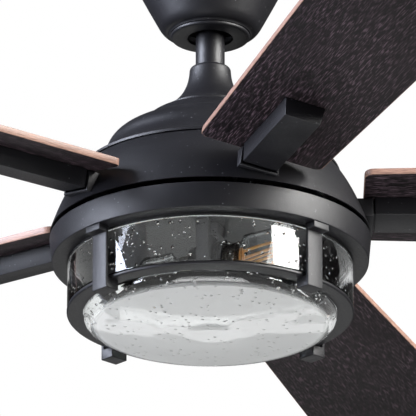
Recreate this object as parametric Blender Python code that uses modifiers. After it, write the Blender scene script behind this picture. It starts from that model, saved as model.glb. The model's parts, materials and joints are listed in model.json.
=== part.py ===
"""Five-blade ceiling fan with a caged glass drum light on a short downrod.

Metres, +Z up. The origin is the middle of the hanger bracket's top face, which
bears on the ceiling, and everything hangs below it. A blade's own frame has X
along the blade from the fan's axis, Y across it and Z square to its underside.
"""

from math import acos, asin, cos, pi, radians, sin

import bmesh
import bpy
from mathutils import Matrix, Vector

MM = 0.001

# Clearances
SEAT_GAP = 0.3 * MM           # between pieces that rest on each other
RUN_GAP = 0.6 * MM            # around a shaft, pin or rod in its hole
CUT_MARGIN = 4 * MM           # how far a cutter runs past the wall it cuts

# Round pieces
COARSE_STEPS = 16
MEDIUM_STEPS = 24
FINE_STEPS = 36
BAND_STEPS = 40

# Hanger bracket, at the ceiling
PLATE_RADIUS = 50 * MM
PLATE_THICKNESS = 2.5 * MM
EAR_WIDTH = 18 * MM
EAR_TIP_WIDTH = 15 * MM
EAR_DROP = 15 * MM
EAR_GAP = 3 * MM              # between an ear and the canopy's wall
LEG_THICKNESS = 2.5 * MM
LEG_WIDTH = 29 * MM
FOLD_STEP = 0.4 * MM          # how far a folded tab stands in from its plate's edge
SEAT_WALL = 9.5 * MM
SEAT_HEIGHT = 9.5 * MM
CEILING_HOLE_OFFSET = 34 * MM
CEILING_HOLE_RADIUS = 3 * MM
WIRE_HOLE_OFFSET = 20 * MM
WIRE_HOLE_RADIUS = 7 * MM
KEY_RADIUS = 2 * MM
KEY_TIP_GAP = 3 * MM          # between the key's tip and the ball's groove
KEY_SET_IN = 1 * MM           # key below the seat's top
ENTRY_PAST_CENTRE = 2 * MM    # how far the seat's side entry runs past its middle

# Canopy and its trim ring
CANOPY_RADIUS = 65.5 * MM
CANOPY_HEIGHT = 59 * MM
CANOPY_TOP_GAP = 1 * MM
CANOPY_COLLAR = 15 * MM
CANOPY_WAIST_RADIUS = 48.3 * MM
CANOPY_WAIST_HEIGHT = 10.8 * MM
CANOPY_SHOULDER_RADIUS = 40.5 * MM
CANOPY_SHOULDER_HEIGHT = 2.2 * MM
CANOPY_LIP_RADIUS = 37.2 * MM
CANOPY_BORE_RADIUS = 31 * MM
SHELL_WALL = 1.6 * MM
RIM_HEIGHT = 2.2 * MM         # upright rim at the foot of a flared shell
TRIM_RADIUS = 36.4 * MM
TRIM_EDGE = 3 * MM
TRIM_EDGE_RISE = 2.4 * MM
TRIM_THICKNESS = 3.2 * MM
TRIM_BORE_RADIUS = 20.8 * MM
TRIM_COLLAR_WALL = 2.5 * MM
TRIM_COLLAR_HEIGHT = 3.5 * MM
CANOPY_SCREW_DEPTH = 9 * MM
SCREW_RADIUS = 2 * MM
SCREW_HEAD_RADIUS = 4 * MM
SCREW_HEAD_HEIGHT = 2.4 * MM

# Remote-control receiver in the bracket
RECEIVER_SIZE = (50 * MM, 36 * MM, 16 * MM)

# Hanger ball and downrod
BALL_RADIUS = 22 * MM
BALL_DEPTH = 35 * MM
BALL_TOP = 9 * MM
BALL_FOOT_RADIUS = 16 * MM
BALL_GROOVE_WIDTH = 7 * MM
BALL_GROOVE_FLOOR = 16 * MM
SEAT_BORE_RADIUS = 17.5 * MM
BALL_PIN_RADIUS = 3 * MM
BALL_PIN_LENGTH = 36 * MM
BALL_PIN_RISE = 5 * MM
ROD_RADIUS = 13.35 * MM
ROD_WALL = 2.3 * MM
ROD_STAND = 13 * MM
ROD_REVEAL = 29.5 * MM

# Yoke cover, yoke and their small parts
YOKE_COVER_HEIGHT = 46.5 * MM
YOKE_COVER_RADIUS = 44.5 * MM
YOKE_NECK_RADIUS = 19 * MM
YOKE_CROWN = 4 * MM
YOKE_LIP = 2 * MM               # flat lip around the rod
YOKE_COLLAR_WALL = 4.8 * MM
YOKE_COLLAR_DROP = 21 * MM
YOKE_FLANGE_RADIUS = 36 * MM
YOKE_FLANGE_THICKNESS = 4.8 * MM
YOKE_SOCKET_DEPTH = 9 * MM
ROD_END_RISE = 3 * MM
CLEVIS_RISE = 7.8 * MM
CLEVIS_RADIUS = 3 * MM
CLEVIS_HEAD_RADIUS = 4.5 * MM
CLEVIS_OVERHANG = 5 * MM
CLIP_WIRE_RADIUS = 0.7 * MM
CLIP_OVERHANG = 2.2 * MM        # clip leg past the clevis pin
SET_SCREW_DROP = 4.5 * MM
SET_SCREW_RADIUS = 2.5 * MM
SET_SCREW_LENGTH = 7.5 * MM

# Top housing, the fixed stepped dome over the motor
HOUSING_HEIGHT = 60.7 * MM
HOUSING_TIER_RADIUS = 65.5 * MM
HOUSING_TIER_DROP = 14.7 * MM
HOUSING_DOME_RADIUS = 95 * MM
HOUSING_DOME_DROP = 36.2 * MM
HOUSING_LIP_RADIUS = 118.5 * MM
SEAM_GAP = 1.5 * MM

# Rotating cover, which carries a sleeve for each blade arm
COVER_HEIGHT = 55.1 * MM
COVER_RADIUS = 145.7 * MM
COVER_TOP_RADIUS = 118.7 * MM
COVER_WALL = 1.9 * MM
COVER_WEB_DROP = 3.6 * MM
COVER_WEB_THICKNESS = 1.8 * MM
GROOVE_GAP = 4.9 * MM
SLEEVE_WALL = 2.2 * MM
SLEEVE_REACH = 147.6 * MM
SLEEVE_DEPTH = 12 * MM          # of a sleeve behind the skirt's inner face
WEB_BITE = 2 * MM               # web into the skirt

# Motor: hollow fixed shaft, wound stator, two rotor bells on two bearings
SHAFT_RADIUS = 8 * MM
SHAFT_BORE_RADIUS = 5 * MM
STATOR_RADIUS = 80 * MM
STATOR_HEIGHT = 24 * MM
STATOR_DROP = 54 * MM
SLOT_COUNT = 8
SLOT_SHIFT = 0.08               # turn of the slots, as a share of their pitch
WINDING_RADIUS = 4 * MM
WINDING_HEAD = 7 * MM
WINDING_INNER = 46 * MM
WINDING_OUTER = 72 * MM
ROTOR_RADIUS = 92 * MM
ROTOR_WALL = 2 * MM
ROTOR_FLANGE_RADIUS = 106 * MM
ROTOR_TOP_DROP = 38.5 * MM
BEARING_RADIUS = 17 * MM
BEARING_WIDTH = 7 * MM
BEARING_HUB_WALL = 3.7 * MM

# Blades and their arms
BLADE_COUNT = 5
BLADE_PITCH = radians(10.4)
BLADE_TIP_RADIUS = 660 * MM
BLADE_ROOT_RADIUS = 139 * MM
BLADE_ROOT_WIDTH = 115 * MM
BLADE_TIP_WIDTH = 151.5 * MM
BLADE_THICKNESS = 6.2 * MM
BLADE_ROOT_CORNER = 8 * MM
BLADE_TIP_CORNER = 14 * MM
BLADE_RISE = 26.9 * MM          # blade underside above the rotating cover's rim
ARM_START = 149.4 * MM
ARM_END = 263.5 * MM
ARM_DEPTH = 16.5 * MM
ARM_TOP_HALF = 18.6 * MM
ARM_BOTTOM_HALF = 16.2 * MM
ARM_WALL = 2.6 * MM
NECK_HALF = 14.6 * MM
NECK_TOP = 4.6 * MM
NECK_BOTTOM = 15.6 * MM
NECK_START = 112 * MM
NECK_GAP = 1.6 * MM
TONGUE_START = 84 * MM
TONGUE_END = 124 * MM
TONGUE_HALF = 14 * MM
TONGUE_THICKNESS = 6 * MM
TONGUE_DROP = 1.8 * MM          # tongue top below the blade's underside
BOSS_RADIUS = 6 * MM
STUD_RADIUS = 2.4 * MM
STUD_GRIP = 9 * MM
STUD_PLACES = ((172 * MM, 0.0), (236 * MM, 9 * MM), (236 * MM, -9 * MM))
CLAMP_THICKNESS = 1.6 * MM
CLAMP_MARGIN = 8 * MM
ROTOR_STUD_RADIUS = 2.4 * MM
ROTOR_STUD_LENGTH = 8.5 * MM
ROTOR_STUD_SPREAD = 8 * MM

# Light pan: the wide band with the flat underside
BAND_HEIGHT = 23 * MM
BAND_TOP_RADIUS = 146 * MM
BAND_FOOT_RADIUS = 143.8 * MM
BAND_BORE_RADIUS = 124.5 * MM
PAN_WALL = 2 * MM
PAN_RAISE_RADIUS = 105 * MM
PAN_RAISE = 9 * MM
NUT_RADIUS = 13 * MM
NUT_HEIGHT = 5.7 * MM
SHAFT_TAIL = 1.5 * MM

# Glass drum, gasket, cage straps, lower ring and bottom glass
GASKET_THICKNESS = 1.8 * MM
DRUM_RADIUS = 129.5 * MM
DRUM_WALL = 4 * MM
DRUM_HEIGHT = 43.5 * MM
STRAP_COUNT = 4
STRAP_PHASE = radians(43)
STRAP_WIDTH = 18.5 * MM
STRAP_THICKNESS = 3 * MM
STRAP_STANDOFF = 3.5 * MM
STRAP_BLOCK_LENGTH = 8.3 * MM
STRAP_BLOCK_HEIGHT = 6.2 * MM
STRAP_FOOT_LENGTH = 15 * MM
STRAP_FOOT_HEIGHT = 9.9 * MM
RING_EDGE = 1 * MM
RING_OVERHANG = 0.3 * MM
RING_THICKNESS = 3 * MM
RING_BORE_RADIUS = 115 * MM
LENS_WALL = 3 * MM
LENS_FLANGE = 6 * MM
LENS_DROP = 13 * MM
LENS_CROWN = 6.5 * MM
LENS_CORNER = 11 * MM

# Lamps
LAMP_PHASE = radians(-22)
LAMP_GAP = 2.3 * MM             # between the shaft's end and the sockets
HOLDER_HALF = 6 * MM
HOLDER_WIDTH = 40 * MM
HOLDER_FOOT = 14 * MM
SOCKET_LENGTH = 10.7 * MM
SOCKET_WALL = 2.2 * MM
SOCKET_FLOOR = 1.7 * MM
CAP_RADIUS = 12 * MM
CAP_LENGTH = 19.7 * MM
CAP_WALL = 0.8 * MM
CAP_FLOOR = 1.2 * MM
BULB_RADIUS = 15 * MM
BULB_WALL = 0.8 * MM
BULB_NECK_LENGTH = 9 * MM
BULB_LENGTH = 54 * MM
BULB_FLARE = 8 * MM             # length of the swell from neck to body
BULB_DOME = 13.5 * MM
FILAMENT_COUNT = 4
FILAMENT_RADIUS = 0.8 * MM
FILAMENT_CIRCLE = 6.4 * MM
FILAMENT_LENGTH = 33 * MM
FILAMENT_DISC = 0.8 * MM
FILAMENT_STAND = 4 * MM         # near disc past the glass's neck
STEM_RADIUS = 2.2 * MM

# Heights, from the ceiling down
CANOPY_TOP = -CANOPY_TOP_GAP
CANOPY_BOTTOM = CANOPY_TOP - CANOPY_HEIGHT
TRIM_TOP = CANOPY_BOTTOM - SEAT_GAP
TRIM_BOTTOM = TRIM_TOP - TRIM_THICKNESS
BALL_CENTRE = -BALL_DEPTH
ROD_TOP = BALL_CENTRE + ROD_STAND
YOKE_COVER_TOP = TRIM_BOTTOM - ROD_REVEAL
YOKE_COVER_BOTTOM = YOKE_COVER_TOP - YOKE_COVER_HEIGHT
HOUSING_TOP = YOKE_COVER_BOTTOM - SEAT_GAP
HOUSING_BOTTOM = HOUSING_TOP - HOUSING_HEIGHT
ROD_BOTTOM = HOUSING_TOP + ROD_END_RISE
YOKE_FLANGE_TOP = HOUSING_TOP - SHELL_WALL - SEAT_GAP
YOKE_BOTTOM = YOKE_FLANGE_TOP - YOKE_FLANGE_THICKNESS
YOKE_TOP = YOKE_COVER_TOP - YOKE_COLLAR_DROP
YOKE_BORE = ROD_RADIUS + SEAT_GAP
YOKE_COLLAR_RADIUS = YOKE_BORE + YOKE_COLLAR_WALL
CLEVIS_HEIGHT = ROD_BOTTOM + CLEVIS_RISE
COVER_TOP = HOUSING_BOTTOM - SEAM_GAP
COVER_BOTTOM = COVER_TOP - COVER_HEIGHT
BAND_TOP = COVER_BOTTOM - GROOVE_GAP
BAND_BOTTOM = BAND_TOP - BAND_HEIGHT
PAN_CENTRE_TOP = BAND_TOP + PAN_RAISE
NUT_TOP = PAN_CENTRE_TOP - PAN_WALL - SEAT_GAP
SHAFT_TOP = YOKE_BOTTOM + YOKE_SOCKET_DEPTH
SHAFT_BOTTOM = NUT_TOP - NUT_HEIGHT - SHAFT_TAIL
ROTOR_TOP = HOUSING_TOP - ROTOR_TOP_DROP
ROTOR_SPLIT = COVER_TOP - COVER_WEB_DROP - COVER_WEB_THICKNESS - SEAT_GAP - ROTOR_WALL
BLADE_HEIGHT = COVER_BOTTOM + BLADE_RISE
TONGUE_TOP = BLADE_HEIGHT - TONGUE_DROP
ROTOR_BOTTOM = TONGUE_TOP + SEAT_GAP
STATOR_TOP = HOUSING_TOP - STATOR_DROP
GASKET_TOP = BAND_BOTTOM - SEAT_GAP
DRUM_TOP = GASKET_TOP - GASKET_THICKNESS - SEAT_GAP
DRUM_BOTTOM = DRUM_TOP - DRUM_HEIGHT
RING_TOP = DRUM_BOTTOM - SEAT_GAP
RING_BOTTOM = RING_TOP - RING_THICKNESS
STRAP_INNER = DRUM_RADIUS + STRAP_STANDOFF
STRAP_OUTER = STRAP_INNER + STRAP_THICKNESS
STRAP_TOP = BAND_BOTTOM - SEAT_GAP
STRAP_FOOT_TOP = RING_BOTTOM - SEAT_GAP
STRAP_BOTTOM = STRAP_FOOT_TOP - STRAP_FOOT_HEIGHT
RING_RADIUS = DRUM_RADIUS + RING_OVERHANG
SOCKET_BORE = CAP_RADIUS + RUN_GAP
SOCKET_RADIUS = SOCKET_BORE + SOCKET_WALL
LAMP_HEIGHT = SHAFT_BOTTOM - LAMP_GAP - SOCKET_RADIUS

# Finishes: base colour, roughness, metallic
FINISHES = {
    "black": ((0.022, 0.022, 0.025), 0.55, 0.2),
    "steel": ((0.45, 0.45, 0.46), 0.35, 1.0),
    "copper": ((0.55, 0.22, 0.08), 0.4, 1.0),
    "brass": ((0.62, 0.5, 0.25), 0.35, 1.0),
    "walnut": ((0.035, 0.025, 0.027), 0.6, 0.0),
    "glass": ((0.85, 0.88, 0.88), 0.05, 0.0),
    "rubber": ((0.01, 0.01, 0.01), 0.8, 0.0),
    "plastic": ((0.6, 0.6, 0.58), 0.5, 0.0),
    "amber": ((0.9, 0.5, 0.12), 0.4, 0.0),
}


def start_collections():
    """Empty the scene and make the collections for the pieces and the cutters."""
    for leftover in list(bpy.data.objects):
        bpy.data.objects.remove(leftover)
    made = []
    for name in ("ceiling_fan_with_light", "cutters"):
        collection = bpy.data.collections.new(name)
        bpy.context.scene.collection.children.link(collection)
        made.append(collection)
    return made


PIECES, CUTTERS = start_collections()


def finish(thing, kind):
    """Give a piece a material of its own."""
    colour, roughness, metallic = FINISHES[kind]
    material = bpy.data.materials.new(thing.name)
    material.use_nodes = True
    shader = material.node_tree.nodes["Principled BSDF"]
    shader.inputs["Base Color"].default_value = (*colour, 1.0)
    shader.inputs["Roughness"].default_value = roughness
    shader.inputs["Metallic"].default_value = metallic
    thing.data.materials.clear()
    thing.data.materials.append(material)


def place(thing, location=(0, 0, 0), rotation=(0, 0, 0), parent=None):
    """Set an object's place, under its parent empty where it has one."""
    thing.parent = parent
    thing.location = location
    thing.rotation_euler = rotation
    if parent is not None:
        thing.matrix_parent_inverse = Matrix.Translation(parent.location).inverted()
    return thing


def add_mesh(name, mesh, kind):
    """Link a mesh as a piece, or as a hidden cutter when kind is None."""
    thing = bpy.data.objects.new(name, mesh)
    if kind is None:
        CUTTERS.objects.link(thing)
        thing.hide_render = True
        thing.display_type = "WIRE"
    else:
        PIECES.objects.link(thing)
        finish(thing, kind)
    return thing


def mesh_of(bm, name):
    """Turn a bmesh into a mesh and free it."""
    mesh = bpy.data.meshes.new(name)
    bm.to_mesh(mesh)
    bm.free()
    return mesh


def box(name, low, high, kind=None):
    """Make a box between two corners."""
    bm = bmesh.new()
    bmesh.ops.create_cube(bm, size=1.0)
    size = Vector(high) - Vector(low)
    centre = (Vector(high) + Vector(low)) / 2
    bmesh.ops.scale(bm, vec=size, verts=bm.verts)
    bmesh.ops.translate(bm, vec=centre, verts=bm.verts)
    return add_mesh(name, mesh_of(bm, name), kind)


def tapered_box(name, low, high, bottom_half, kind=None):
    """Make a box whose sides lean in to a narrower underside."""
    thing = box(name, low, high, kind)
    for vertex in thing.data.vertices:
        if vertex.co.z < (low[2] + high[2]) / 2:
            vertex.co.y = bottom_half if vertex.co.y > 0 else -bottom_half
    return thing


def rod(name, radius, start, end, kind=None, sides=16):
    """Make a cylinder from one point to another."""
    start = Vector(start)
    end = Vector(end)
    span = end - start
    bm = bmesh.new()
    bmesh.ops.create_cone(bm, cap_ends=True, segments=sides, radius1=radius,
                          radius2=radius, depth=span.length)
    turn = span.to_track_quat("Z", "Y").to_matrix().to_4x4()
    bmesh.ops.transform(bm, matrix=Matrix.Translation((start + end) / 2) @ turn, verts=bm.verts)
    thing = add_mesh(name, mesh_of(bm, name), kind)
    shade_round(thing)
    return thing


def shade_round(thing):
    """Shade a round piece smooth, with its real edges kept sharp."""
    thing.data.shade_smooth()
    thing.data.set_sharp_from_angle(angle=radians(35))


def turned(name, profile, kind=None, steps=FINE_STEPS, closed=True, wall=None):
    """Turn a profile of (radius, height) points about Z.

    The profile runs down its outer side. A closed one is a ring's section, an
    open one starts and ends on the axis, and one with a wall is a thin shell.
    """
    mesh = bpy.data.meshes.new(name)
    points = [(radius, 0.0, height) for radius, height in profile]
    edges = [(index, index + 1) for index in range(len(points) - 1)]
    if closed and wall is None:
        edges.append((len(points) - 1, 0))
    mesh.from_pydata(points, edges, [])
    thing = add_mesh(name, mesh, kind)
    screw = thing.modifiers.new("turn", "SCREW")
    screw.angle = 2 * pi
    screw.steps = steps
    screw.render_steps = steps
    screw.use_merge_vertices = True
    screw.merge_threshold = 0.00001
    screw.use_smooth_shade = True
    if wall is not None:
        skin = thing.modifiers.new("wall", "SOLIDIFY")
        skin.thickness = wall
        skin.offset = -1.0
        skin.use_even_offset = True
    return thing


def swell(start, end, across, down, count=5):
    """Points of a curve between two (radius, height) points.

    across and down place the control point, as shares of the step from start
    to end, so that the curve keeps its form when either end moves.
    """
    control = (start[0] + across * (end[0] - start[0]), start[1] + down * (end[1] - start[1]))
    points = []
    for index in range(count + 1):
        t = index / count
        weights = ((1 - t) ** 2, 2 * t * (1 - t), t ** 2)
        points.append(tuple(weights[0] * a + weights[1] * b + weights[2] * c
                            for a, b, c in zip(start, control, end)))
    return points


def combine(target, tool, operation):
    """Add a Boolean modifier that cuts a tool from a piece, or joins it on."""
    step = target.modifiers.new(tool.name, "BOOLEAN")
    step.operation = operation
    step.solver = "EXACT"
    step.object = tool
    return target


def cut(target, tool):
    """Cut a tool away from a piece."""
    return combine(target, tool, "DIFFERENCE")


def join(target, tool):
    """Join a tool onto a piece as one body."""
    return combine(target, tool, "UNION")


def flat_outline(name, points, thickness, kind):
    """Make a plate of a 2D outline in XY, centred on Z=0, as a welded mesh."""
    curve = bpy.data.curves.new(name, "CURVE")
    curve.dimensions = "2D"
    curve.fill_mode = "BOTH"
    curve.extrude = thickness / 2
    spline = curve.splines.new("POLY")
    spline.points.add(len(points) - 1)
    for point, (x, y) in zip(spline.points, points):
        point.co = (x, y, 0.0, 1.0)
    spline.use_cyclic_u = True
    guide = bpy.data.objects.new(name + "_outline", curve)
    CUTTERS.objects.link(guide)
    bpy.context.view_layer.update()
    evaluated = guide.evaluated_get(bpy.context.evaluated_depsgraph_get())
    mesh = bpy.data.meshes.new_from_object(evaluated)
    bm = bmesh.new()
    bm.from_mesh(mesh)
    bmesh.ops.remove_doubles(bm, verts=bm.verts, dist=0.00001)
    bmesh.ops.dissolve_limit(bm, angle_limit=radians(0.5), verts=bm.verts, edges=bm.edges)
    bmesh.ops.recalc_face_normals(bm, faces=bm.faces)
    bpy.data.objects.remove(guide)
    return add_mesh(name, mesh_of(bm, name), kind)


def corner(centre, radius, start, end, count=4):
    """Points of an outline's rounded corner, between two angles."""
    points = []
    for index in range(count + 1):
        angle = start + (end - start) * index / count
        points.append((centre[0] + radius * cos(angle), centre[1] + radius * sin(angle)))
    return points


def ring_section(inner, outer, bottom, top):
    """A rectangular ring section, down its outer side."""
    return [(inner, top), (outer, top), (outer, bottom), (inner, bottom)]


def empty(name, location, parent=None):
    """Add an empty that marks a joint and carries what moves on it."""
    marker = bpy.data.objects.new(name, None)
    PIECES.objects.link(marker)
    return place(marker, location, parent=parent)


def paired(name, sides=(-1, 1)):
    """Names for the left and right copies of a piece, with the side of each."""
    return [(f"{name}_{'left' if side < 0 else 'right'}", side) for side in sides]


def build_bracket():
    """The hanger bracket: ceiling plate with ears, two legs and the ball's seat."""
    seat_outer = BALL_RADIUS + SEAT_WALL
    seat_bottom = BALL_CENTRE - (BALL_RADIUS ** 2 - BALL_FOOT_RADIUS ** 2) ** 0.5 - SEAT_GAP
    seat_top = seat_bottom + SEAT_HEIGHT
    ear_face = CANOPY_RADIUS - SHELL_WALL - EAR_GAP
    half_angle = asin(EAR_WIDTH / 2 / PLATE_RADIUS)
    outline = [(ear_face, EAR_TIP_WIDTH / 2)]
    outline += corner((0, 0), PLATE_RADIUS, half_angle, pi - half_angle, count=18)
    outline += [(-ear_face, EAR_TIP_WIDTH / 2), (-ear_face, -EAR_TIP_WIDTH / 2)]
    outline += corner((0, 0), PLATE_RADIUS, pi + half_angle, 2 * pi - half_angle, count=18)
    outline += [(ear_face, -EAR_TIP_WIDTH / 2)]
    bracket = flat_outline("hanger_bracket", outline, PLATE_THICKNESS, "steel")
    bracket.data.transform(Matrix.Translation((0, 0, -PLATE_THICKNESS / 2)))
    seat = turned("seat_block",
                  ring_section(SEAT_BORE_RADIUS, seat_outer, seat_bottom, seat_top),
                  steps=COARSE_STEPS)
    bm = bmesh.new()
    bmesh.ops.create_uvsphere(bm, u_segments=COARSE_STEPS, v_segments=12,
                              radius=BALL_RADIUS + 2 * SEAT_GAP)
    hollow = place(add_mesh("seat_hollow", mesh_of(bm, "seat_hollow"), None), (0, 0, BALL_CENTRE))
    cut(seat, hollow)
    entry_half = ROD_RADIUS + RUN_GAP
    cut(seat, box("seat_entry", (-entry_half, -seat_outer - CUT_MARGIN, seat_bottom - CUT_MARGIN),
                  (entry_half, ENTRY_PAST_CENTRE, seat_top + CUT_MARGIN)))
    for name, side in paired("leg"):
        faces = sorted((side * (seat_outer - LEG_THICKNESS - FOLD_STEP),
                        side * (seat_outer - FOLD_STEP)))
        join(bracket, box(name, (faces[0], -LEG_WIDTH / 2, seat_bottom + FOLD_STEP),
                          (faces[1], LEG_WIDTH / 2, -PLATE_THICKNESS / 2)))
    for name, side in paired("ear"):
        faces = sorted((side * (ear_face - PLATE_THICKNESS), side * (ear_face - FOLD_STEP)))
        join(bracket, box(name, (faces[0], -EAR_TIP_WIDTH / 2 + FOLD_STEP, -EAR_DROP),
                          (faces[1], EAR_TIP_WIDTH / 2 - FOLD_STEP, -PLATE_THICKNESS / 2)))
    join(bracket, seat)
    key_height = seat_top - KEY_RADIUS - KEY_SET_IN
    join(bracket, rod("ball_key", KEY_RADIUS, (0, BALL_GROOVE_FLOOR + KEY_TIP_GAP, key_height),
                      (0, seat_outer - KEY_RADIUS, key_height), sides=12))
    for name, side in paired("ear_hole"):
        cut(bracket, rod(name, SCREW_RADIUS + SEAT_GAP,
                         (side * (ear_face - PLATE_THICKNESS - CUT_MARGIN), 0, -CANOPY_SCREW_DEPTH),
                         (side * (ear_face + CUT_MARGIN), 0, -CANOPY_SCREW_DEPTH), sides=12))
    for name, side in paired("ceiling_hole"):
        cut(bracket, rod(name, CEILING_HOLE_RADIUS,
                         (0, side * CEILING_HOLE_OFFSET, -PLATE_THICKNESS - CUT_MARGIN),
                         (0, side * CEILING_HOLE_OFFSET, CUT_MARGIN), sides=12))
    cut(bracket, rod("wire_hole", WIRE_HOLE_RADIUS,
                     (-WIRE_HOLE_OFFSET, 0, -PLATE_THICKNESS - CUT_MARGIN),
                     (-WIRE_HOLE_OFFSET, 0, CUT_MARGIN)))
    return bracket


def build_canopy():
    """The bell-shaped canopy, its trim ring, its two screws and the receiver."""
    waist = (CANOPY_WAIST_RADIUS, CANOPY_BOTTOM + CANOPY_WAIST_HEIGHT)
    shoulder = (CANOPY_SHOULDER_RADIUS, CANOPY_BOTTOM + CANOPY_SHOULDER_HEIGHT)
    lip = (CANOPY_LIP_RADIUS, CANOPY_BOTTOM)
    profile = [(CANOPY_RADIUS, CANOPY_TOP)]
    profile += swell((CANOPY_RADIUS, CANOPY_TOP - CANOPY_COLLAR), waist, 0.28, 0.3, count=3)
    profile += swell(waist, shoulder, 0.45, 0.8, count=2)[1:]
    profile += swell(shoulder, lip, 0.75, 0.1, count=1)[1:]
    profile += [(CANOPY_BORE_RADIUS, CANOPY_BOTTOM)]
    canopy = turned("canopy", profile, "black", wall=SHELL_WALL)
    for name, side in paired("canopy_hole"):
        cut(canopy, rod(name, SCREW_RADIUS + SEAT_GAP,
                        (side * (CANOPY_RADIUS - SHELL_WALL - CUT_MARGIN), 0, -CANOPY_SCREW_DEPTH),
                        (side * (CANOPY_RADIUS + CUT_MARGIN), 0, -CANOPY_SCREW_DEPTH), sides=12))
    for name, side in paired("canopy_screw"):
        head = CANOPY_RADIUS + SEAT_GAP
        tip = CANOPY_RADIUS - SHELL_WALL - EAR_GAP - PLATE_THICKNESS - CUT_MARGIN
        screw = rod(name, SCREW_RADIUS, (side * tip, 0, -CANOPY_SCREW_DEPTH),
                    (side * (head + SCREW_HEAD_HEIGHT / 2), 0, -CANOPY_SCREW_DEPTH),
                    "steel", sides=12)
        join(screw, rod(name + "_head", SCREW_HEAD_RADIUS, (side * head, 0, -CANOPY_SCREW_DEPTH),
                        (side * (head + SCREW_HEAD_HEIGHT), 0, -CANOPY_SCREW_DEPTH)))

    collar = CANOPY_BORE_RADIUS - SEAT_GAP
    trim_profile = [(collar - TRIM_COLLAR_WALL, TRIM_TOP + TRIM_COLLAR_HEIGHT),
                    (collar, TRIM_TOP + TRIM_COLLAR_HEIGHT), (collar, TRIM_TOP),
                    (TRIM_RADIUS, TRIM_TOP)]
    trim_profile += swell((TRIM_RADIUS, TRIM_BOTTOM + TRIM_EDGE_RISE),
                          (TRIM_RADIUS - TRIM_EDGE, TRIM_BOTTOM), 0.05, 0.9, count=2)
    trim_profile += [(TRIM_BORE_RADIUS, TRIM_BOTTOM), (TRIM_BORE_RADIUS, TRIM_TOP),
                     (collar - TRIM_COLLAR_WALL, TRIM_TOP)]
    turned("canopy_trim_ring", trim_profile, "black", steps=MEDIUM_STEPS)

    length, width, height = RECEIVER_SIZE
    box("remote_receiver", (-length / 2, -width / 2, -PLATE_THICKNESS - SEAT_GAP - height),
        (length / 2, width / 2, -PLATE_THICKNESS - SEAT_GAP), "plastic")


def build_downrod(swing, clevis_hole):
    """The hanger ball with its pin, and the downrod that it holds."""
    foot_angle = -acos(BALL_FOOT_RADIUS / BALL_RADIUS)
    top_angle = asin(BALL_TOP / BALL_RADIUS)
    bore = ROD_RADIUS + SEAT_GAP
    steps = 6
    profile = [(bore, BALL_TOP)]
    for index in range(steps + 1):
        angle = top_angle + (foot_angle - top_angle) * index / steps
        profile.append((BALL_RADIUS * cos(angle), BALL_RADIUS * sin(angle)))
    profile.append((bore, profile[-1][1]))
    ball = turned("hanger_ball", profile, "steel", steps=COARSE_STEPS)
    place(ball, (0, 0, BALL_CENTRE), parent=swing)
    reach = BALL_RADIUS + CUT_MARGIN
    pin_height = BALL_CENTRE + BALL_PIN_RISE
    pin_hole = rod("ball_pin_hole", BALL_PIN_RADIUS + SEAT_GAP,
                   (-reach, 0, pin_height), (reach, 0, pin_height))
    groove = box("ball_groove", (-BALL_GROOVE_WIDTH / 2, BALL_GROOVE_FLOOR, BALL_CENTRE - reach),
                 (BALL_GROOVE_WIDTH / 2, reach, BALL_CENTRE + reach))
    cut(ball, pin_hole)
    cut(ball, groove)
    pin = rod("ball_pin", BALL_PIN_RADIUS, (-BALL_PIN_LENGTH / 2, 0, pin_height),
              (BALL_PIN_LENGTH / 2, 0, pin_height), "steel")
    place(pin, parent=swing)

    tube = turned("downrod", ring_section(ROD_RADIUS - ROD_WALL, ROD_RADIUS, ROD_BOTTOM, ROD_TOP),
                  "black", steps=MEDIUM_STEPS)
    place(tube, parent=swing)
    cut(tube, pin_hole)
    cut(tube, clevis_hole)


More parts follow.
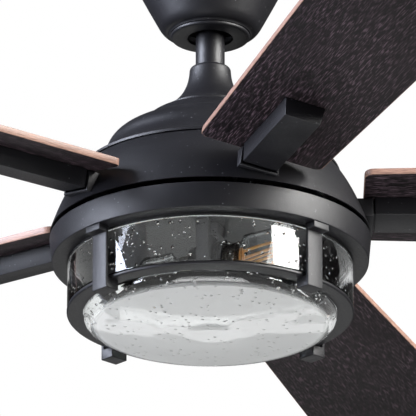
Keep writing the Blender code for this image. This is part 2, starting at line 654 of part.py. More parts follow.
def build_yoke(swing, clevis_hole):
    """The yoke that clasps the downrod, its pin, clip and screws, and its cover."""
    yoke = turned("motor_yoke",
                  [(YOKE_BORE, YOKE_TOP), (YOKE_COLLAR_RADIUS, YOKE_TOP),
                   (YOKE_COLLAR_RADIUS, YOKE_FLANGE_TOP), (YOKE_FLANGE_RADIUS, YOKE_FLANGE_TOP),
                   (YOKE_FLANGE_RADIUS, YOKE_BOTTOM), (SHAFT_RADIUS + SEAT_GAP, YOKE_BOTTOM),
                   (SHAFT_RADIUS + SEAT_GAP, ROD_BOTTOM - RUN_GAP),
                   (YOKE_BORE, ROD_BOTTOM - RUN_GAP)], "steel", steps=COARSE_STEPS)
    place(yoke, parent=swing)
    cut(yoke, clevis_hole)

    head_face = -YOKE_COLLAR_RADIUS - SEAT_GAP
    tip = YOKE_COLLAR_RADIUS + CLEVIS_OVERHANG
    pin = rod("clevis_pin", CLEVIS_RADIUS, (head_face - CLEVIS_RADIUS / 2, 0, CLEVIS_HEIGHT),
              (tip, 0, CLEVIS_HEIGHT), "steel")
    join(pin, rod("clevis_head", CLEVIS_HEAD_RADIUS, (head_face - CLEVIS_RADIUS, 0, CLEVIS_HEIGHT),
                  (head_face, 0, CLEVIS_HEIGHT)))
    clip_place = YOKE_COLLAR_RADIUS + CLEVIS_OVERHANG / 2
    leg = CLEVIS_RADIUS + CLIP_OVERHANG
    cut(pin, rod("clip_hole", CLIP_WIRE_RADIUS + SEAT_GAP,
                 (clip_place, 0, CLEVIS_HEIGHT - leg), (clip_place, 0, CLEVIS_HEIGHT + leg),
                 sides=12))
    place(pin, parent=swing)

    bend = CLEVIS_OVERHANG / 2 + CLIP_WIRE_RADIUS + SEAT_GAP
    curve = bpy.data.curves.new("hairpin_clip", "CURVE")
    curve.dimensions = "3D"
    curve.bevel_depth = CLIP_WIRE_RADIUS
    curve.bevel_resolution = 2
    curve.use_fill_caps = True
    route = [(clip_place, 0, CLEVIS_HEIGHT - leg), (clip_place, 0, CLEVIS_HEIGHT + leg - bend / 2)]
    for index in range(1, 6):
        angle = pi - pi * index / 6
        route.append((clip_place + bend / 2 + bend / 2 * cos(angle), 0,
                      CLEVIS_HEIGHT + leg - bend / 2 + bend / 2 * sin(angle)))
    route.append((clip_place + bend, 0, CLEVIS_HEIGHT + leg - bend / 2))
    route.append((clip_place + bend, 0, CLEVIS_HEIGHT - leg / 2))
    spline = curve.splines.new("POLY")
    spline.points.add(len(route) - 1)
    for point, spot in zip(spline.points, route):
        point.co = (*spot, 1.0)
    clip = bpy.data.objects.new("hairpin_clip", curve)
    PIECES.objects.link(clip)
    finish(clip, "steel")
    place(clip, parent=swing)

    screw_height = YOKE_TOP - SET_SCREW_DROP
    for name, side in (("yoke_set_screw_front", -1), ("yoke_set_screw_back", 1)):
        screw = rod(name, SET_SCREW_RADIUS, (0, side * (ROD_RADIUS + SEAT_GAP), screw_height),
                    (0, side * (ROD_RADIUS + SEAT_GAP + SET_SCREW_LENGTH), screw_height),
                    "steel", sides=12)
        place(screw, parent=swing)
        cut(yoke, rod(name + "_hole", SET_SCREW_RADIUS + SEAT_GAP,
                      (0, side * (ROD_RADIUS - CUT_MARGIN), screw_height),
                      (0, side * (YOKE_COLLAR_RADIUS + CUT_MARGIN), screw_height), sides=12))

    neck = (YOKE_NECK_RADIUS, YOKE_COVER_TOP - YOKE_CROWN)
    profile = [(ROD_RADIUS + RUN_GAP, YOKE_COVER_TOP)]
    profile += swell((ROD_RADIUS + YOKE_LIP, YOKE_COVER_TOP), neck, 1.0, 0.1, count=2)
    profile += swell(neck, (YOKE_COVER_RADIUS, YOKE_COVER_BOTTOM + RIM_HEIGHT), 0.06, 0.66,
                     count=4)[1:]
    profile += [(YOKE_COVER_RADIUS, YOKE_COVER_BOTTOM)]
    cover = turned("yoke_cover", profile, "black", steps=MEDIUM_STEPS, wall=SHELL_WALL)
    place(cover, parent=swing)


def build_housing(swing):
    """The fixed top housing: two steps of dome and a flared lip."""
    tier_top = (YOKE_COVER_RADIUS, HOUSING_TOP)
    tier = (HOUSING_TIER_RADIUS, HOUSING_TOP - HOUSING_TIER_DROP)
    dome = (HOUSING_DOME_RADIUS, HOUSING_TOP - HOUSING_DOME_DROP)
    lip = (HOUSING_LIP_RADIUS, HOUSING_BOTTOM + RIM_HEIGHT)
    profile = [(YOKE_COLLAR_RADIUS + RUN_GAP, HOUSING_TOP)]
    profile += swell(tier_top, tier, 0.65, 0.15, count=2)
    profile += swell(tier, dome, 0.86, 0.3, count=3)[1:]
    profile += swell(dome, lip, 0.15, 0.57, count=3)[1:]
    profile += [(HOUSING_LIP_RADIUS, HOUSING_BOTTOM)]
    housing = turned("top_housing", profile, "black", wall=SHELL_WALL)
    place(housing, parent=swing)


def build_motor(swing, spin):
    """The fixed shaft and wound stator, and the rotor bells on their bearings."""
    shaft = turned("motor_shaft", ring_section(SHAFT_BORE_RADIUS, SHAFT_RADIUS, SHAFT_BOTTOM,
                                               SHAFT_TOP), "steel", steps=COARSE_STEPS)
    place(shaft, parent=swing)

    stator_bottom = STATOR_TOP - STATOR_HEIGHT
    core = turned("stator_core", ring_section(SHAFT_RADIUS + SEAT_GAP, STATOR_RADIUS,
                                              stator_bottom, STATOR_TOP), "steel",
                  steps=MEDIUM_STEPS)
    place(core, parent=swing)
    heads = ((STATOR_TOP + SEAT_GAP, STATOR_TOP + SEAT_GAP + WINDING_HEAD),
             (stator_bottom - SEAT_GAP - WINDING_HEAD, stator_bottom - SEAT_GAP))
    winding = turned("stator_winding", ring_section(WINDING_INNER, WINDING_OUTER, *heads[0]),
                     "copper", steps=MEDIUM_STEPS)
    join(winding, turned("lower_winding_head", ring_section(WINDING_INNER, WINDING_OUTER, *heads[1]),
                         steps=MEDIUM_STEPS))
    middle = (WINDING_INNER + WINDING_OUTER) / 2
    for index in range(SLOT_COUNT):
        angle = 2 * pi * (index + SLOT_SHIFT) / SLOT_COUNT
        spot = (middle * cos(angle), middle * sin(angle))
        overlap = WINDING_HEAD / 2
        join(winding, rod(f"winding_bar_{index + 1}", WINDING_RADIUS,
                          (*spot, stator_bottom - SEAT_GAP - overlap),
                          (*spot, STATOR_TOP + SEAT_GAP + overlap), sides=8))
        cut(core, rod(f"stator_slot_{index + 1}", WINDING_RADIUS + RUN_GAP,
                      (*spot, stator_bottom - CUT_MARGIN), (*spot, STATOR_TOP + CUT_MARGIN),
                      sides=8))
    place(winding, parent=swing)

    hub = BEARING_RADIUS + SEAT_GAP
    hub_outer = hub + BEARING_HUB_WALL
    inner = ROTOR_RADIUS - ROTOR_WALL
    bearing_gap = (BEARING_WIDTH - ROTOR_WALL) / 2
    upper = turned("rotor_upper_bell",
                   [(hub, ROTOR_TOP + bearing_gap), (hub_outer, ROTOR_TOP + bearing_gap),
                    (hub_outer, ROTOR_TOP), (ROTOR_RADIUS, ROTOR_TOP),
                    (ROTOR_RADIUS, ROTOR_SPLIT + ROTOR_WALL),
                    (ROTOR_FLANGE_RADIUS, ROTOR_SPLIT + ROTOR_WALL),
                    (ROTOR_FLANGE_RADIUS, ROTOR_SPLIT), (inner, ROTOR_SPLIT),
                    (inner, ROTOR_TOP - ROTOR_WALL), (hub_outer, ROTOR_TOP - ROTOR_WALL),
                    (hub_outer, ROTOR_TOP - ROTOR_WALL - bearing_gap),
                    (hub, ROTOR_TOP - ROTOR_WALL - bearing_gap)], "steel",
                   steps=MEDIUM_STEPS)
    place(upper, parent=spin)
    lower_top = ROTOR_SPLIT - SEAT_GAP
    lower_floor = ROTOR_BOTTOM + ROTOR_WALL
    lower = turned("rotor_lower_bell",
                   [(inner, lower_top), (ROTOR_RADIUS, lower_top), (ROTOR_RADIUS, lower_floor),
                    (ROTOR_FLANGE_RADIUS, lower_floor), (ROTOR_FLANGE_RADIUS, ROTOR_BOTTOM),
                    (hub_outer, ROTOR_BOTTOM), (hub_outer, ROTOR_BOTTOM - bearing_gap),
                    (hub, ROTOR_BOTTOM - bearing_gap), (hub, lower_floor + bearing_gap),
                    (hub_outer, lower_floor + bearing_gap), (hub_outer, lower_floor),
                    (inner, lower_floor)], "steel", steps=MEDIUM_STEPS)
    middle = (TONGUE_START + ROTOR_FLANGE_RADIUS) / 2
    for index in range(BLADE_COUNT):
        for label, side in (("a", -1), ("b", 1)):
            stud = rod(f"rotor_stud_{index + 1}{label}", ROTOR_STUD_RADIUS,
                       (middle, side * ROTOR_STUD_SPREAD, ROTOR_BOTTOM - ROTOR_STUD_LENGTH),
                       (middle, side * ROTOR_STUD_SPREAD, ROTOR_BOTTOM + ROTOR_WALL / 2), sides=8)
            place(stud, rotation=(0, 0, 2 * pi * index / BLADE_COUNT))
            join(lower, stud)
    place(lower, parent=spin)
    for name, height in (("upper_bearing", ROTOR_TOP + bearing_gap),
                         ("lower_bearing", lower_floor + bearing_gap)):
        bearing = turned(name, ring_section(SHAFT_RADIUS + SEAT_GAP, BEARING_RADIUS,
                                            height - BEARING_WIDTH, height),
                         "steel", steps=COARSE_STEPS)
        place(bearing, parent=spin)


def build_cover(spin):
    """The rotating cover: a flared skirt, an inner web and five arm sleeves."""
    outer = swell((COVER_TOP_RADIUS, COVER_TOP), (COVER_RADIUS, COVER_BOTTOM), 0.53, 0.327)
    web_bottom = ROTOR_SPLIT + ROTOR_WALL + SEAT_GAP
    web_top = web_bottom + COVER_WEB_THICKNESS
    inner = [(radius - COVER_WALL, height) for radius, height in reversed(outer)]
    below = [point for point in inner if point[1] < web_bottom - WEB_BITE / 2]
    wall_at_web = inner[-1][0] + WEB_BITE
    profile = outer + below
    profile += [(wall_at_web, web_bottom), (ROTOR_RADIUS + RUN_GAP, web_bottom),
                (ROTOR_RADIUS + RUN_GAP, web_top), (wall_at_web - WEB_BITE / 2, web_top), inner[-1]]
    cover = turned("rotating_cover", profile, "black", steps=BAND_STEPS)
    sleeve_start = COVER_RADIUS - COVER_WALL - SLEEVE_DEPTH
    half = NECK_HALF + NECK_GAP + SLEEVE_WALL
    for index in range(BLADE_COUNT):
        sleeve = box(f"arm_sleeve_{index + 1}",
                     (sleeve_start, -half, -NECK_BOTTOM - NECK_GAP - SLEEVE_WALL),
                     (SLEEVE_REACH, half, -NECK_TOP + NECK_GAP + SLEEVE_WALL))
        place(sleeve, (0, 0, BLADE_HEIGHT), (-BLADE_PITCH, 0, 2 * pi * index / BLADE_COUNT))
        join(cover, sleeve)
    for index in range(BLADE_COUNT):
        window = box(f"arm_window_{index + 1}",
                     (NECK_START, -NECK_HALF - NECK_GAP, -NECK_BOTTOM - NECK_GAP),
                     (SLEEVE_REACH + CUT_MARGIN, NECK_HALF + NECK_GAP, -NECK_TOP + NECK_GAP))
        place(window, (0, 0, BLADE_HEIGHT), (-BLADE_PITCH, 0, 2 * pi * index / BLADE_COUNT))
        cut(cover, window)
    place(cover, parent=spin)


def build_blades(spin):
    """Five blades, each on an arm from the rotor and under a plate with three studs."""
    half_root = BLADE_ROOT_WIDTH / 2
    half_tip = BLADE_TIP_WIDTH / 2
    root = BLADE_ROOT_RADIUS
    tip = BLADE_TIP_RADIUS
    outline = corner((root + BLADE_ROOT_CORNER, half_root - BLADE_ROOT_CORNER),
                     BLADE_ROOT_CORNER, pi, pi / 2)
    outline += corner((tip - BLADE_TIP_CORNER, half_tip - BLADE_TIP_CORNER),
                      BLADE_TIP_CORNER, pi / 2, 0)
    outline += corner((tip - BLADE_TIP_CORNER, -half_tip + BLADE_TIP_CORNER),
                      BLADE_TIP_CORNER, 0, -pi / 2)
    outline += corner((root + BLADE_ROOT_CORNER, -half_root + BLADE_ROOT_CORNER),
                      BLADE_ROOT_CORNER, -pi / 2, -pi)
    for index in range(BLADE_COUNT):
        number = index + 1
        turn = 2 * pi * index / BLADE_COUNT
        pitched = (-BLADE_PITCH, 0, turn)
        hub = (0, 0, BLADE_HEIGHT)

        blade = flat_outline(f"blade_{number}", outline, BLADE_THICKNESS, "walnut")
        blade.data.transform(Matrix.Translation((0, 0, BLADE_THICKNESS / 2 + SEAT_GAP)))
        arm = tapered_box(f"blade_arm_{number}", (ARM_START, -ARM_TOP_HALF, -ARM_DEPTH),
                          (ARM_END, ARM_TOP_HALF, 0), ARM_BOTTOM_HALF, "black")
        tray = tapered_box(f"arm_tray_{number}",
                           (ARM_START + ARM_WALL, -ARM_TOP_HALF + ARM_WALL, -ARM_DEPTH + ARM_WALL),
                           (ARM_END - ARM_WALL, ARM_TOP_HALF - ARM_WALL, ARM_WALL),
                           ARM_BOTTOM_HALF - ARM_WALL)
        neck = box(f"arm_neck_{number}", (NECK_START, -NECK_HALF, -NECK_BOTTOM),
                   (ARM_START + ARM_WALL / 2, NECK_HALF, -NECK_TOP))
        tongue = box(f"arm_tongue_{number}", (TONGUE_START, -TONGUE_HALF, -TONGUE_THICKNESS),
                     (TONGUE_END, TONGUE_HALF, 0))
        place(tongue, (0, 0, TONGUE_TOP), (0, 0, turn))
        cut(arm, tray)
        for cutter in (tray, neck):
            place(cutter, hub, pitched)
        join(arm, neck)
        join(arm, tongue)
        stud_middle = (TONGUE_START + ROTOR_FLANGE_RADIUS) / 2
        for label, side in (("a", -1), ("b", 1)):
            across = side * ROTOR_STUD_SPREAD
            hole = rod(f"tongue_hole_{number}{label}", ROTOR_STUD_RADIUS + SEAT_GAP,
                       (stud_middle, across, TONGUE_TOP - TONGUE_THICKNESS - CUT_MARGIN),
                       (stud_middle, across, TONGUE_TOP + CUT_MARGIN), sides=8)
            place(hole, rotation=(0, 0, turn))
            cut(arm, hole)

        plate_top = BLADE_THICKNESS + 2 * SEAT_GAP + CLAMP_THICKNESS
        clamp = box(f"blade_clamp_{number}",
                    (STUD_PLACES[0][0] - CLAMP_MARGIN, STUD_PLACES[2][1] - CLAMP_MARGIN,
                     plate_top - CLAMP_THICKNESS),
                    (STUD_PLACES[1][0] + CLAMP_MARGIN, STUD_PLACES[1][1] + CLAMP_MARGIN, plate_top),
                    "steel")
        for order, (along, across) in enumerate(STUD_PLACES):
            spot = (along, across)
            boss = rod(f"arm_boss_{number}_{order + 1}", BOSS_RADIUS,
                       (*spot, -ARM_DEPTH + ARM_WALL / 2), (*spot, 0), sides=8)
            stud = rod(f"clamp_stud_{number}_{order + 1}", STUD_RADIUS,
                       (*spot, -STUD_GRIP), (*spot, plate_top - CLAMP_THICKNESS / 2), sides=8)
            drill = rod(f"stud_hole_{number}_{order + 1}", STUD_RADIUS + SEAT_GAP,
                        (*spot, -STUD_GRIP - SEAT_GAP), (*spot, plate_top + CUT_MARGIN), sides=8)
            for tool in (boss, stud, drill):
                place(tool, hub, pitched)
            join(arm, boss)
            join(clamp, stud)
            cut(arm, drill)
            cut(blade, drill)
        for piece in (blade, arm, clamp):
            place(piece, hub, pitched, spin)


def build_light_pan(swing):
    """The light kit's pan, with its wide band and flat underside, and its nut."""
    bore = SHAFT_RADIUS + SEAT_GAP
    raised = PAN_CENTRE_TOP
    profile = [(bore, raised), (PAN_RAISE_RADIUS, raised), (PAN_RAISE_RADIUS, BAND_TOP),
               (BAND_TOP_RADIUS - PAN_WALL / 2, BAND_TOP),
               (BAND_TOP_RADIUS, BAND_TOP - PAN_WALL / 2),
               (BAND_FOOT_RADIUS, BAND_BOTTOM), (BAND_BORE_RADIUS, BAND_BOTTOM),
               (BAND_BORE_RADIUS, BAND_BOTTOM + PAN_WALL),
               (BAND_FOOT_RADIUS - PAN_WALL, BAND_BOTTOM + PAN_WALL),
               (BAND_TOP_RADIUS - PAN_WALL, BAND_TOP - PAN_WALL),
               (PAN_RAISE_RADIUS - PAN_WALL, BAND_TOP - PAN_WALL),
               (PAN_RAISE_RADIUS - PAN_WALL, raised - PAN_WALL), (bore, raised - PAN_WALL)]
    pan = turned("light_pan", profile, "black", steps=BAND_STEPS)
    place(pan, parent=swing)
    nut = turned("shaft_nut", ring_section(bore, NUT_RADIUS, NUT_TOP - NUT_HEIGHT, NUT_TOP),
                 "steel", steps=6)
    cut(nut, rod("nut_bore", bore, (0, 0, NUT_TOP - NUT_HEIGHT - CUT_MARGIN),
                 (0, 0, NUT_TOP + CUT_MARGIN), sides=COARSE_STEPS))
    place(nut, parent=swing)


def build_cage(swing):
    """The gasket, glass drum, four straps, lower ring and bottom glass."""
    inner = DRUM_RADIUS - DRUM_WALL
    gasket = turned("glass_gasket", ring_section(inner - SEAT_GAP, DRUM_RADIUS - SEAT_GAP,
                                                 GASKET_TOP - GASKET_THICKNESS, GASKET_TOP),
                    "rubber")
    drum = turned("drum_glass", ring_section(inner, DRUM_RADIUS, DRUM_BOTTOM, DRUM_TOP), "glass")
    ring = turned("lower_ring",
                  [(RING_BORE_RADIUS, RING_TOP), (RING_RADIUS, RING_TOP),
                   (RING_RADIUS, RING_BOTTOM + RING_EDGE), (RING_RADIUS - RING_EDGE, RING_BOTTOM),
                   (RING_BORE_RADIUS, RING_BOTTOM)], "black")
    lens_radius = RING_BORE_RADIUS - RUN_GAP
    flange_radius = RING_BORE_RADIUS + LENS_FLANGE
    flange_bottom = RING_TOP + SEAT_GAP
    corner_top = (lens_radius, RING_BOTTOM - LENS_DROP + LENS_CORNER)
    corner_foot = (lens_radius - LENS_CORNER, RING_BOTTOM - LENS_DROP + LENS_WALL / 2)
    crown = RING_BOTTOM - LENS_DROP - LENS_CROWN + LENS_WALL
    outer = swell(corner_top, corner_foot, 0.08, 0.92, count=3)
    outer += swell(corner_foot, (0, crown), 0.5, 0.85, count=3)[1:]
    lining = [(radius * (1 - LENS_WALL / lens_radius), height + LENS_WALL)
              for radius, height in reversed(outer)]
    profile = lining + [(lens_radius - LENS_WALL, flange_bottom + LENS_WALL),
                        (flange_radius, flange_bottom + LENS_WALL),
                        (flange_radius, flange_bottom), (lens_radius, flange_bottom)] + outer
    lens = turned("bottom_glass", profile, "glass", closed=False)
    for piece in (gasket, drum, ring, lens):
        place(piece, parent=swing)

    section = [(STRAP_INNER, STRAP_TOP), (STRAP_OUTER + STRAP_BLOCK_LENGTH, STRAP_TOP),
               (STRAP_OUTER + STRAP_BLOCK_LENGTH, STRAP_TOP - STRAP_BLOCK_HEIGHT),
               (STRAP_OUTER, STRAP_TOP - STRAP_BLOCK_HEIGHT), (STRAP_OUTER, STRAP_BOTTOM),
               (STRAP_OUTER - STRAP_FOOT_LENGTH, STRAP_BOTTOM),
               (STRAP_OUTER - STRAP_FOOT_LENGTH, STRAP_FOOT_TOP),
               (STRAP_INNER, STRAP_FOOT_TOP)]
    for index in range(STRAP_COUNT):
        angle = STRAP_PHASE + 2 * pi * index / STRAP_COUNT
        strap = flat_outline(f"cage_strap_{index + 1}", section, STRAP_WIDTH, "black")
        strap.data.transform(Matrix.Rotation(pi / 2, 4, "X"))
        place(strap, rotation=(0, 0, angle), parent=swing)


def build_lamps(swing):
    """The lamp holder, and a socket and a lamp pointing out at each end of it."""
    root = empty("lamp_axis", (0, 0, LAMP_HEIGHT), swing)
    root.rotation_euler = (0, 0, LAMP_PHASE)
    ceiling = PAN_CENTRE_TOP - PAN_WALL - SEAT_GAP - LAMP_HEIGHT
    holder = box("lamp_holder", (-HOLDER_HALF, -HOLDER_WIDTH / 2, -HOLDER_FOOT),
                 (HOLDER_HALF, HOLDER_WIDTH / 2, ceiling), "plastic")
    nut_room = NUT_RADIUS + RUN_GAP
    nut_floor = SHAFT_BOTTOM - RUN_GAP - LAMP_HEIGHT
    recess = box("nut_recess", (-HOLDER_HALF - CUT_MARGIN, -nut_room, nut_floor),
                 (HOLDER_HALF + CUT_MARGIN, nut_room, ceiling + CUT_MARGIN))
    cut(holder, recess)
    for thing in (holder, recess):
        thing.parent = root

    socket_start = HOLDER_HALF + SEAT_GAP
    cap_start = socket_start + SOCKET_FLOOR + SEAT_GAP
    cap_bore = CAP_RADIUS - CAP_WALL
    neck_radius = cap_bore - SEAT_GAP
    glass_start = cap_start + CAP_LENGTH - BULB_NECK_LENGTH
    glass_end = glass_start + BULB_LENGTH
    bulb_outline = [(neck_radius, glass_start), (neck_radius, glass_start + BULB_NECK_LENGTH)]
    bulb_outline += swell((neck_radius, glass_start + BULB_NECK_LENGTH + SEAT_GAP),
                          (BULB_RADIUS, glass_start + BULB_NECK_LENGTH + BULB_FLARE), 0.1, 0.6,
                          count=2)[1:]
    bulb_outline += swell((BULB_RADIUS, glass_end - BULB_DOME), (0.0, glass_end),
                          0.0, 1.0, count=3)
    stem_start = cap_start + CAP_FLOOR + SEAT_GAP
    near_disc = glass_start + BULB_NECK_LENGTH + FILAMENT_STAND
    far_disc = near_disc + FILAMENT_LENGTH
    for name, side in paired("lamp", sides=(1, -1)):
        label = name.split("_")[1]
        turn = (0, side * pi / 2, 0)
        socket = turned(f"lamp_socket_{label}",
                        [(0, socket_start + SOCKET_FLOOR), (SOCKET_BORE, socket_start + SOCKET_FLOOR),
                         (SOCKET_BORE, socket_start + SOCKET_LENGTH),
                         (SOCKET_RADIUS, socket_start + SOCKET_LENGTH),
                         (SOCKET_RADIUS, socket_start), (0, socket_start)],
                        "plastic", steps=COARSE_STEPS, closed=False)
        cap = turned(f"bulb_cap_{label}",
                     [(0, cap_start + CAP_FLOOR), (cap_bore, cap_start + CAP_FLOOR),
                      (cap_bore, cap_start + CAP_LENGTH), (CAP_RADIUS, cap_start + CAP_LENGTH),
                      (CAP_RADIUS, cap_start), (0, cap_start)],
                     "brass", steps=COARSE_STEPS, closed=False)
        bulb = turned(f"bulb_glass_{label}", list(reversed(bulb_outline)), "glass",
                      steps=COARSE_STEPS, wall=BULB_WALL)
        stem = rod(f"bulb_filament_{label}", STEM_RADIUS, (0, 0, stem_start),
                   (0, 0, far_disc + FILAMENT_DISC / 2), "amber", sides=8)
        for order, height in enumerate((near_disc, far_disc)):
            join(stem, rod(f"filament_disc_{label}_{order + 1}", FILAMENT_CIRCLE + 2 * FILAMENT_RADIUS,
                           (0, 0, height - FILAMENT_DISC / 2), (0, 0, height + FILAMENT_DISC / 2)))
        for order in range(FILAMENT_COUNT):
            angle = 2 * pi * (order + 0.5) / FILAMENT_COUNT
            spot = (FILAMENT_CIRCLE * cos(angle), FILAMENT_CIRCLE * sin(angle))
            join(stem, rod(f"filament_{label}_{order + 1}", FILAMENT_RADIUS,
                           (*spot, near_disc), (*spot, far_disc), sides=6))
        for cutter in [step.object for step in stem.modifiers if step.type == "BOOLEAN"]:
            cutter.parent = root
            cutter.rotation_euler = turn
        for piece in (socket, cap, bulb, stem):
            piece.parent = root
            piece.rotation_euler = turn


def build_fan():
    """Build the whole fan, with an empty on each joint."""
    swing = empty("swing_axis", (0, 0, BALL_CENTRE))
    spin = empty("spin_axis", (0, 0, BLADE_HEIGHT), swing)
    reach = YOKE_COLLAR_RADIUS + CUT_MARGIN
    clevis_hole = rod("clevis_hole", CLEVIS_RADIUS + SEAT_GAP, (-reach, 0, CLEVIS_HEIGHT),
                      (reach, 0, CLEVIS_HEIGHT))
    build_bracket()
    build_canopy()
    build_downrod(swing, clevis_hole)
    build_yoke(swing, clevis_hole)
    build_housing(swing)
    build_motor(swing, spin)
    build_cover(spin)
    build_blades(spin)
    build_light_pan(swing)
    build_cage(swing)
    build_lamps(swing)


build_fan()
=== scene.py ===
"""Looks of a five-blade ceiling fan with a caged drum light of seeded glass.

Metres, +Z up. The ceiling is at z = 0, the fan hangs below it on its downrod,
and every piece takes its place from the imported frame.
"""

import json
import logging
from dataclasses import dataclass
from enum import Enum
from math import cos, pi, radians, sin

import bpy
from mathutils import Matrix, Vector


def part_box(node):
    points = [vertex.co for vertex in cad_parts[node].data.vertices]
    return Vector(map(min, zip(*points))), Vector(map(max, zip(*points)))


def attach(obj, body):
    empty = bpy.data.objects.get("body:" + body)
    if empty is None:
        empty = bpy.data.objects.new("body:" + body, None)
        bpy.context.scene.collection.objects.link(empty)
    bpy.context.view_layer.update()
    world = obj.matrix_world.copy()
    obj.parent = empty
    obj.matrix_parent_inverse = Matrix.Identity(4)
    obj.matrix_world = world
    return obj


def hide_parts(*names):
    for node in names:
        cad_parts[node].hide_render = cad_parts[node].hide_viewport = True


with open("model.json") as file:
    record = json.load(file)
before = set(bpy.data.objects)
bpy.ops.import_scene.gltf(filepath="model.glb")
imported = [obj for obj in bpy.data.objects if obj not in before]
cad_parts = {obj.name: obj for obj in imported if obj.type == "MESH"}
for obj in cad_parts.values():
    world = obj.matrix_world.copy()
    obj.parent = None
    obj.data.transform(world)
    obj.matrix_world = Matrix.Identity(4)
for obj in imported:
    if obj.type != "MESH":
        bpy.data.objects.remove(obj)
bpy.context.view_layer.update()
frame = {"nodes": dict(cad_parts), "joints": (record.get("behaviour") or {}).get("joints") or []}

MM = 0.001
SEAT_GAP = 0.3 * MM  # between pieces that rest on each other
RUN_GAP = 0.6 * MM  # around a piece that slips into another
LOG = logging.getLogger("ceiling_fan")
Profile = list[tuple[float, float]]
Colour = tuple[float, float, float]


class Body(Enum):
    """Bodies of the frame that a piece can ride on."""

    CEILING = "ceiling_part"
    HANGING = "hanging_part"
    ROTOR = "rotor_part"


class Slot(Enum):
    """Material slots of the record."""

    COAT = "black_coat"
    STEEL = "zinc_steel"
    WOOD = "dark_wood"
    COPPER = "copper_wire"
    SEEDED = "seeded_glass"
    BULB = "bulb_glass"
    CAP = "lamp_cap"
    FILAMENT = "filament"
    PLASTIC = "white_plastic"
    RUBBER = "gasket_rubber"


# ---------------------------------------------------------------- finishes


class Nodes:
    """Builds a material's node tree around its Principled BSDF."""

    def __init__(self, name: str) -> None:
        """Start a material.

        Args:
            name: the material's name.
        """
        self.material = bpy.data.materials.new(name)
        self.material.use_nodes = True
        self.tree = self.material.node_tree
        self.shader = self.tree.nodes["Principled BSDF"]

    def add(self, kind: str, **values: object) -> bpy.types.Node:
        """Add a node.

        Args:
            kind: the node's type without its ShaderNode prefix.
            values: properties of the node, or inputs by their names in lower case.

        Returns:
            The new node.
        """
        node = self.tree.nodes.new("ShaderNode" + kind)
        sockets = {socket.name.lower().replace(" ", "_"): socket for socket in node.inputs}
        for key, value in values.items():
            if key in sockets:
                sockets[key].default_value = value
            else:
                setattr(node, key, value)
        return node

    def link(self, source: bpy.types.NodeSocket, target: bpy.types.NodeSocket) -> None:
        """Join two sockets."""
        self.tree.links.new(source, target)

    def place(self, turn: float = 0.0, stretch: tuple = (1, 1, 1)) -> bpy.types.NodeSocket:
        """Object coordinates, turned about Z and stretched.

        Args:
            turn: angle in radians that brings the pattern's length onto X.
            stretch: scale along each axis, after the turn.

        Returns:
            The coordinates' socket.
        """
        coordinates = self.add("TexCoord").outputs["Object"]
        for rotation, scale in (((0, 0, turn), (1, 1, 1)), ((0, 0, 0), stretch)):
            mapping = self.add("Mapping", rotation=rotation, scale=scale)
            self.link(coordinates, mapping.inputs["Vector"])
            coordinates = mapping.outputs["Vector"]
        return coordinates

    def noise(self, where: bpy.types.NodeSocket, scale: float, detail: float = 2.0,
              roughness: float = 0.5) -> bpy.types.NodeSocket:
        """A noise value at the given coordinates."""
        node = self.add("TexNoise", scale=scale, detail=detail, roughness=roughness)
        self.link(where, node.inputs["Vector"])
        return node.outputs["Fac"]

    def ramp(self, value: bpy.types.NodeSocket,
             stops: list[tuple[float, Colour]]) -> bpy.types.NodeSocket:
        """Map a value onto colours.

        Args:
            value: the socket to read.
            stops: places from 0 to 1, each with its colour.

        Returns:
            The colour's socket.
        """
        node = self.add("ValToRGB")
        ramp = node.color_ramp
        while len(ramp.elements) < len(stops):
            ramp.elements.new(1.0)
        for element, (place, colour) in zip(ramp.elements, stops):
            element.position = place
            element.color = (*colour, 1.0)
        self.link(value, node.inputs["Fac"])
        return node.outputs["Color"]

    def tones(self, value: bpy.types.NodeSocket, tint: Colour, dark: float,
              light: float = 1.0, start: float = 0.3) -> bpy.types.NodeSocket:
        """Map a value onto a darker and a lighter tone of a tint."""
        return self.ramp(value, [(start, tuple(dark * part for part in tint)),
                                 (0.7, tuple(light * part for part in tint))])

    def spread(self, value: bpy.types.NodeSocket, low: float, high: float,
               start: float = 0.3, end: float = 0.7) -> bpy.types.NodeSocket:
        """Map a value from start..end onto low..high."""
        node = self.add("MapRange")
        for key, number in (("From Min", start), ("From Max", end),
                            ("To Min", low), ("To Max", high)):
            node.inputs[key].default_value = number
        self.link(value, node.inputs["Value"])
        return node.outputs["Result"]

    def mix(self, share: bpy.types.NodeSocket, first: object, second: object,
            blend: str = "MIX") -> bpy.types.NodeSocket:
        """Mix two colours, each a socket or a colour, by a share."""
        node = self.add("Mix", data_type="RGBA", blend_type=blend)
        self.link(share, node.inputs["Factor"])
        for socket, value in ((node.inputs[6], first), (node.inputs[7], second)):
            if isinstance(value, bpy.types.NodeSocket):
                self.link(value, socket)
            else:
                socket.default_value = (*value, 1.0)
        return node.outputs[2]

    def bump(self, height: bpy.types.NodeSocket, distance: float, strength: float = 1.0,
             below: bpy.types.NodeSocket | None = None) -> bpy.types.NodeSocket:
        """A bump normal of the given depth in metres, on top of another one."""
        node = self.add("Bump", strength=strength, distance=distance)
        self.link(height, node.inputs["Height"])
        if below is not None:
            self.link(below, node.inputs["Normal"])
        self.link(node.outputs["Normal"], self.shader.inputs["Normal"])
        return node.outputs["Normal"]

    def feed(self, name: str, value: object) -> None:
        """Set or link one of the shader's inputs."""
        socket = self.shader.inputs[name]
        if isinstance(value, bpy.types.NodeSocket):
            self.link(value, socket)
        elif isinstance(value, tuple):
            socket.default_value = (*value, 1.0)
        else:
            socket.default_value = value


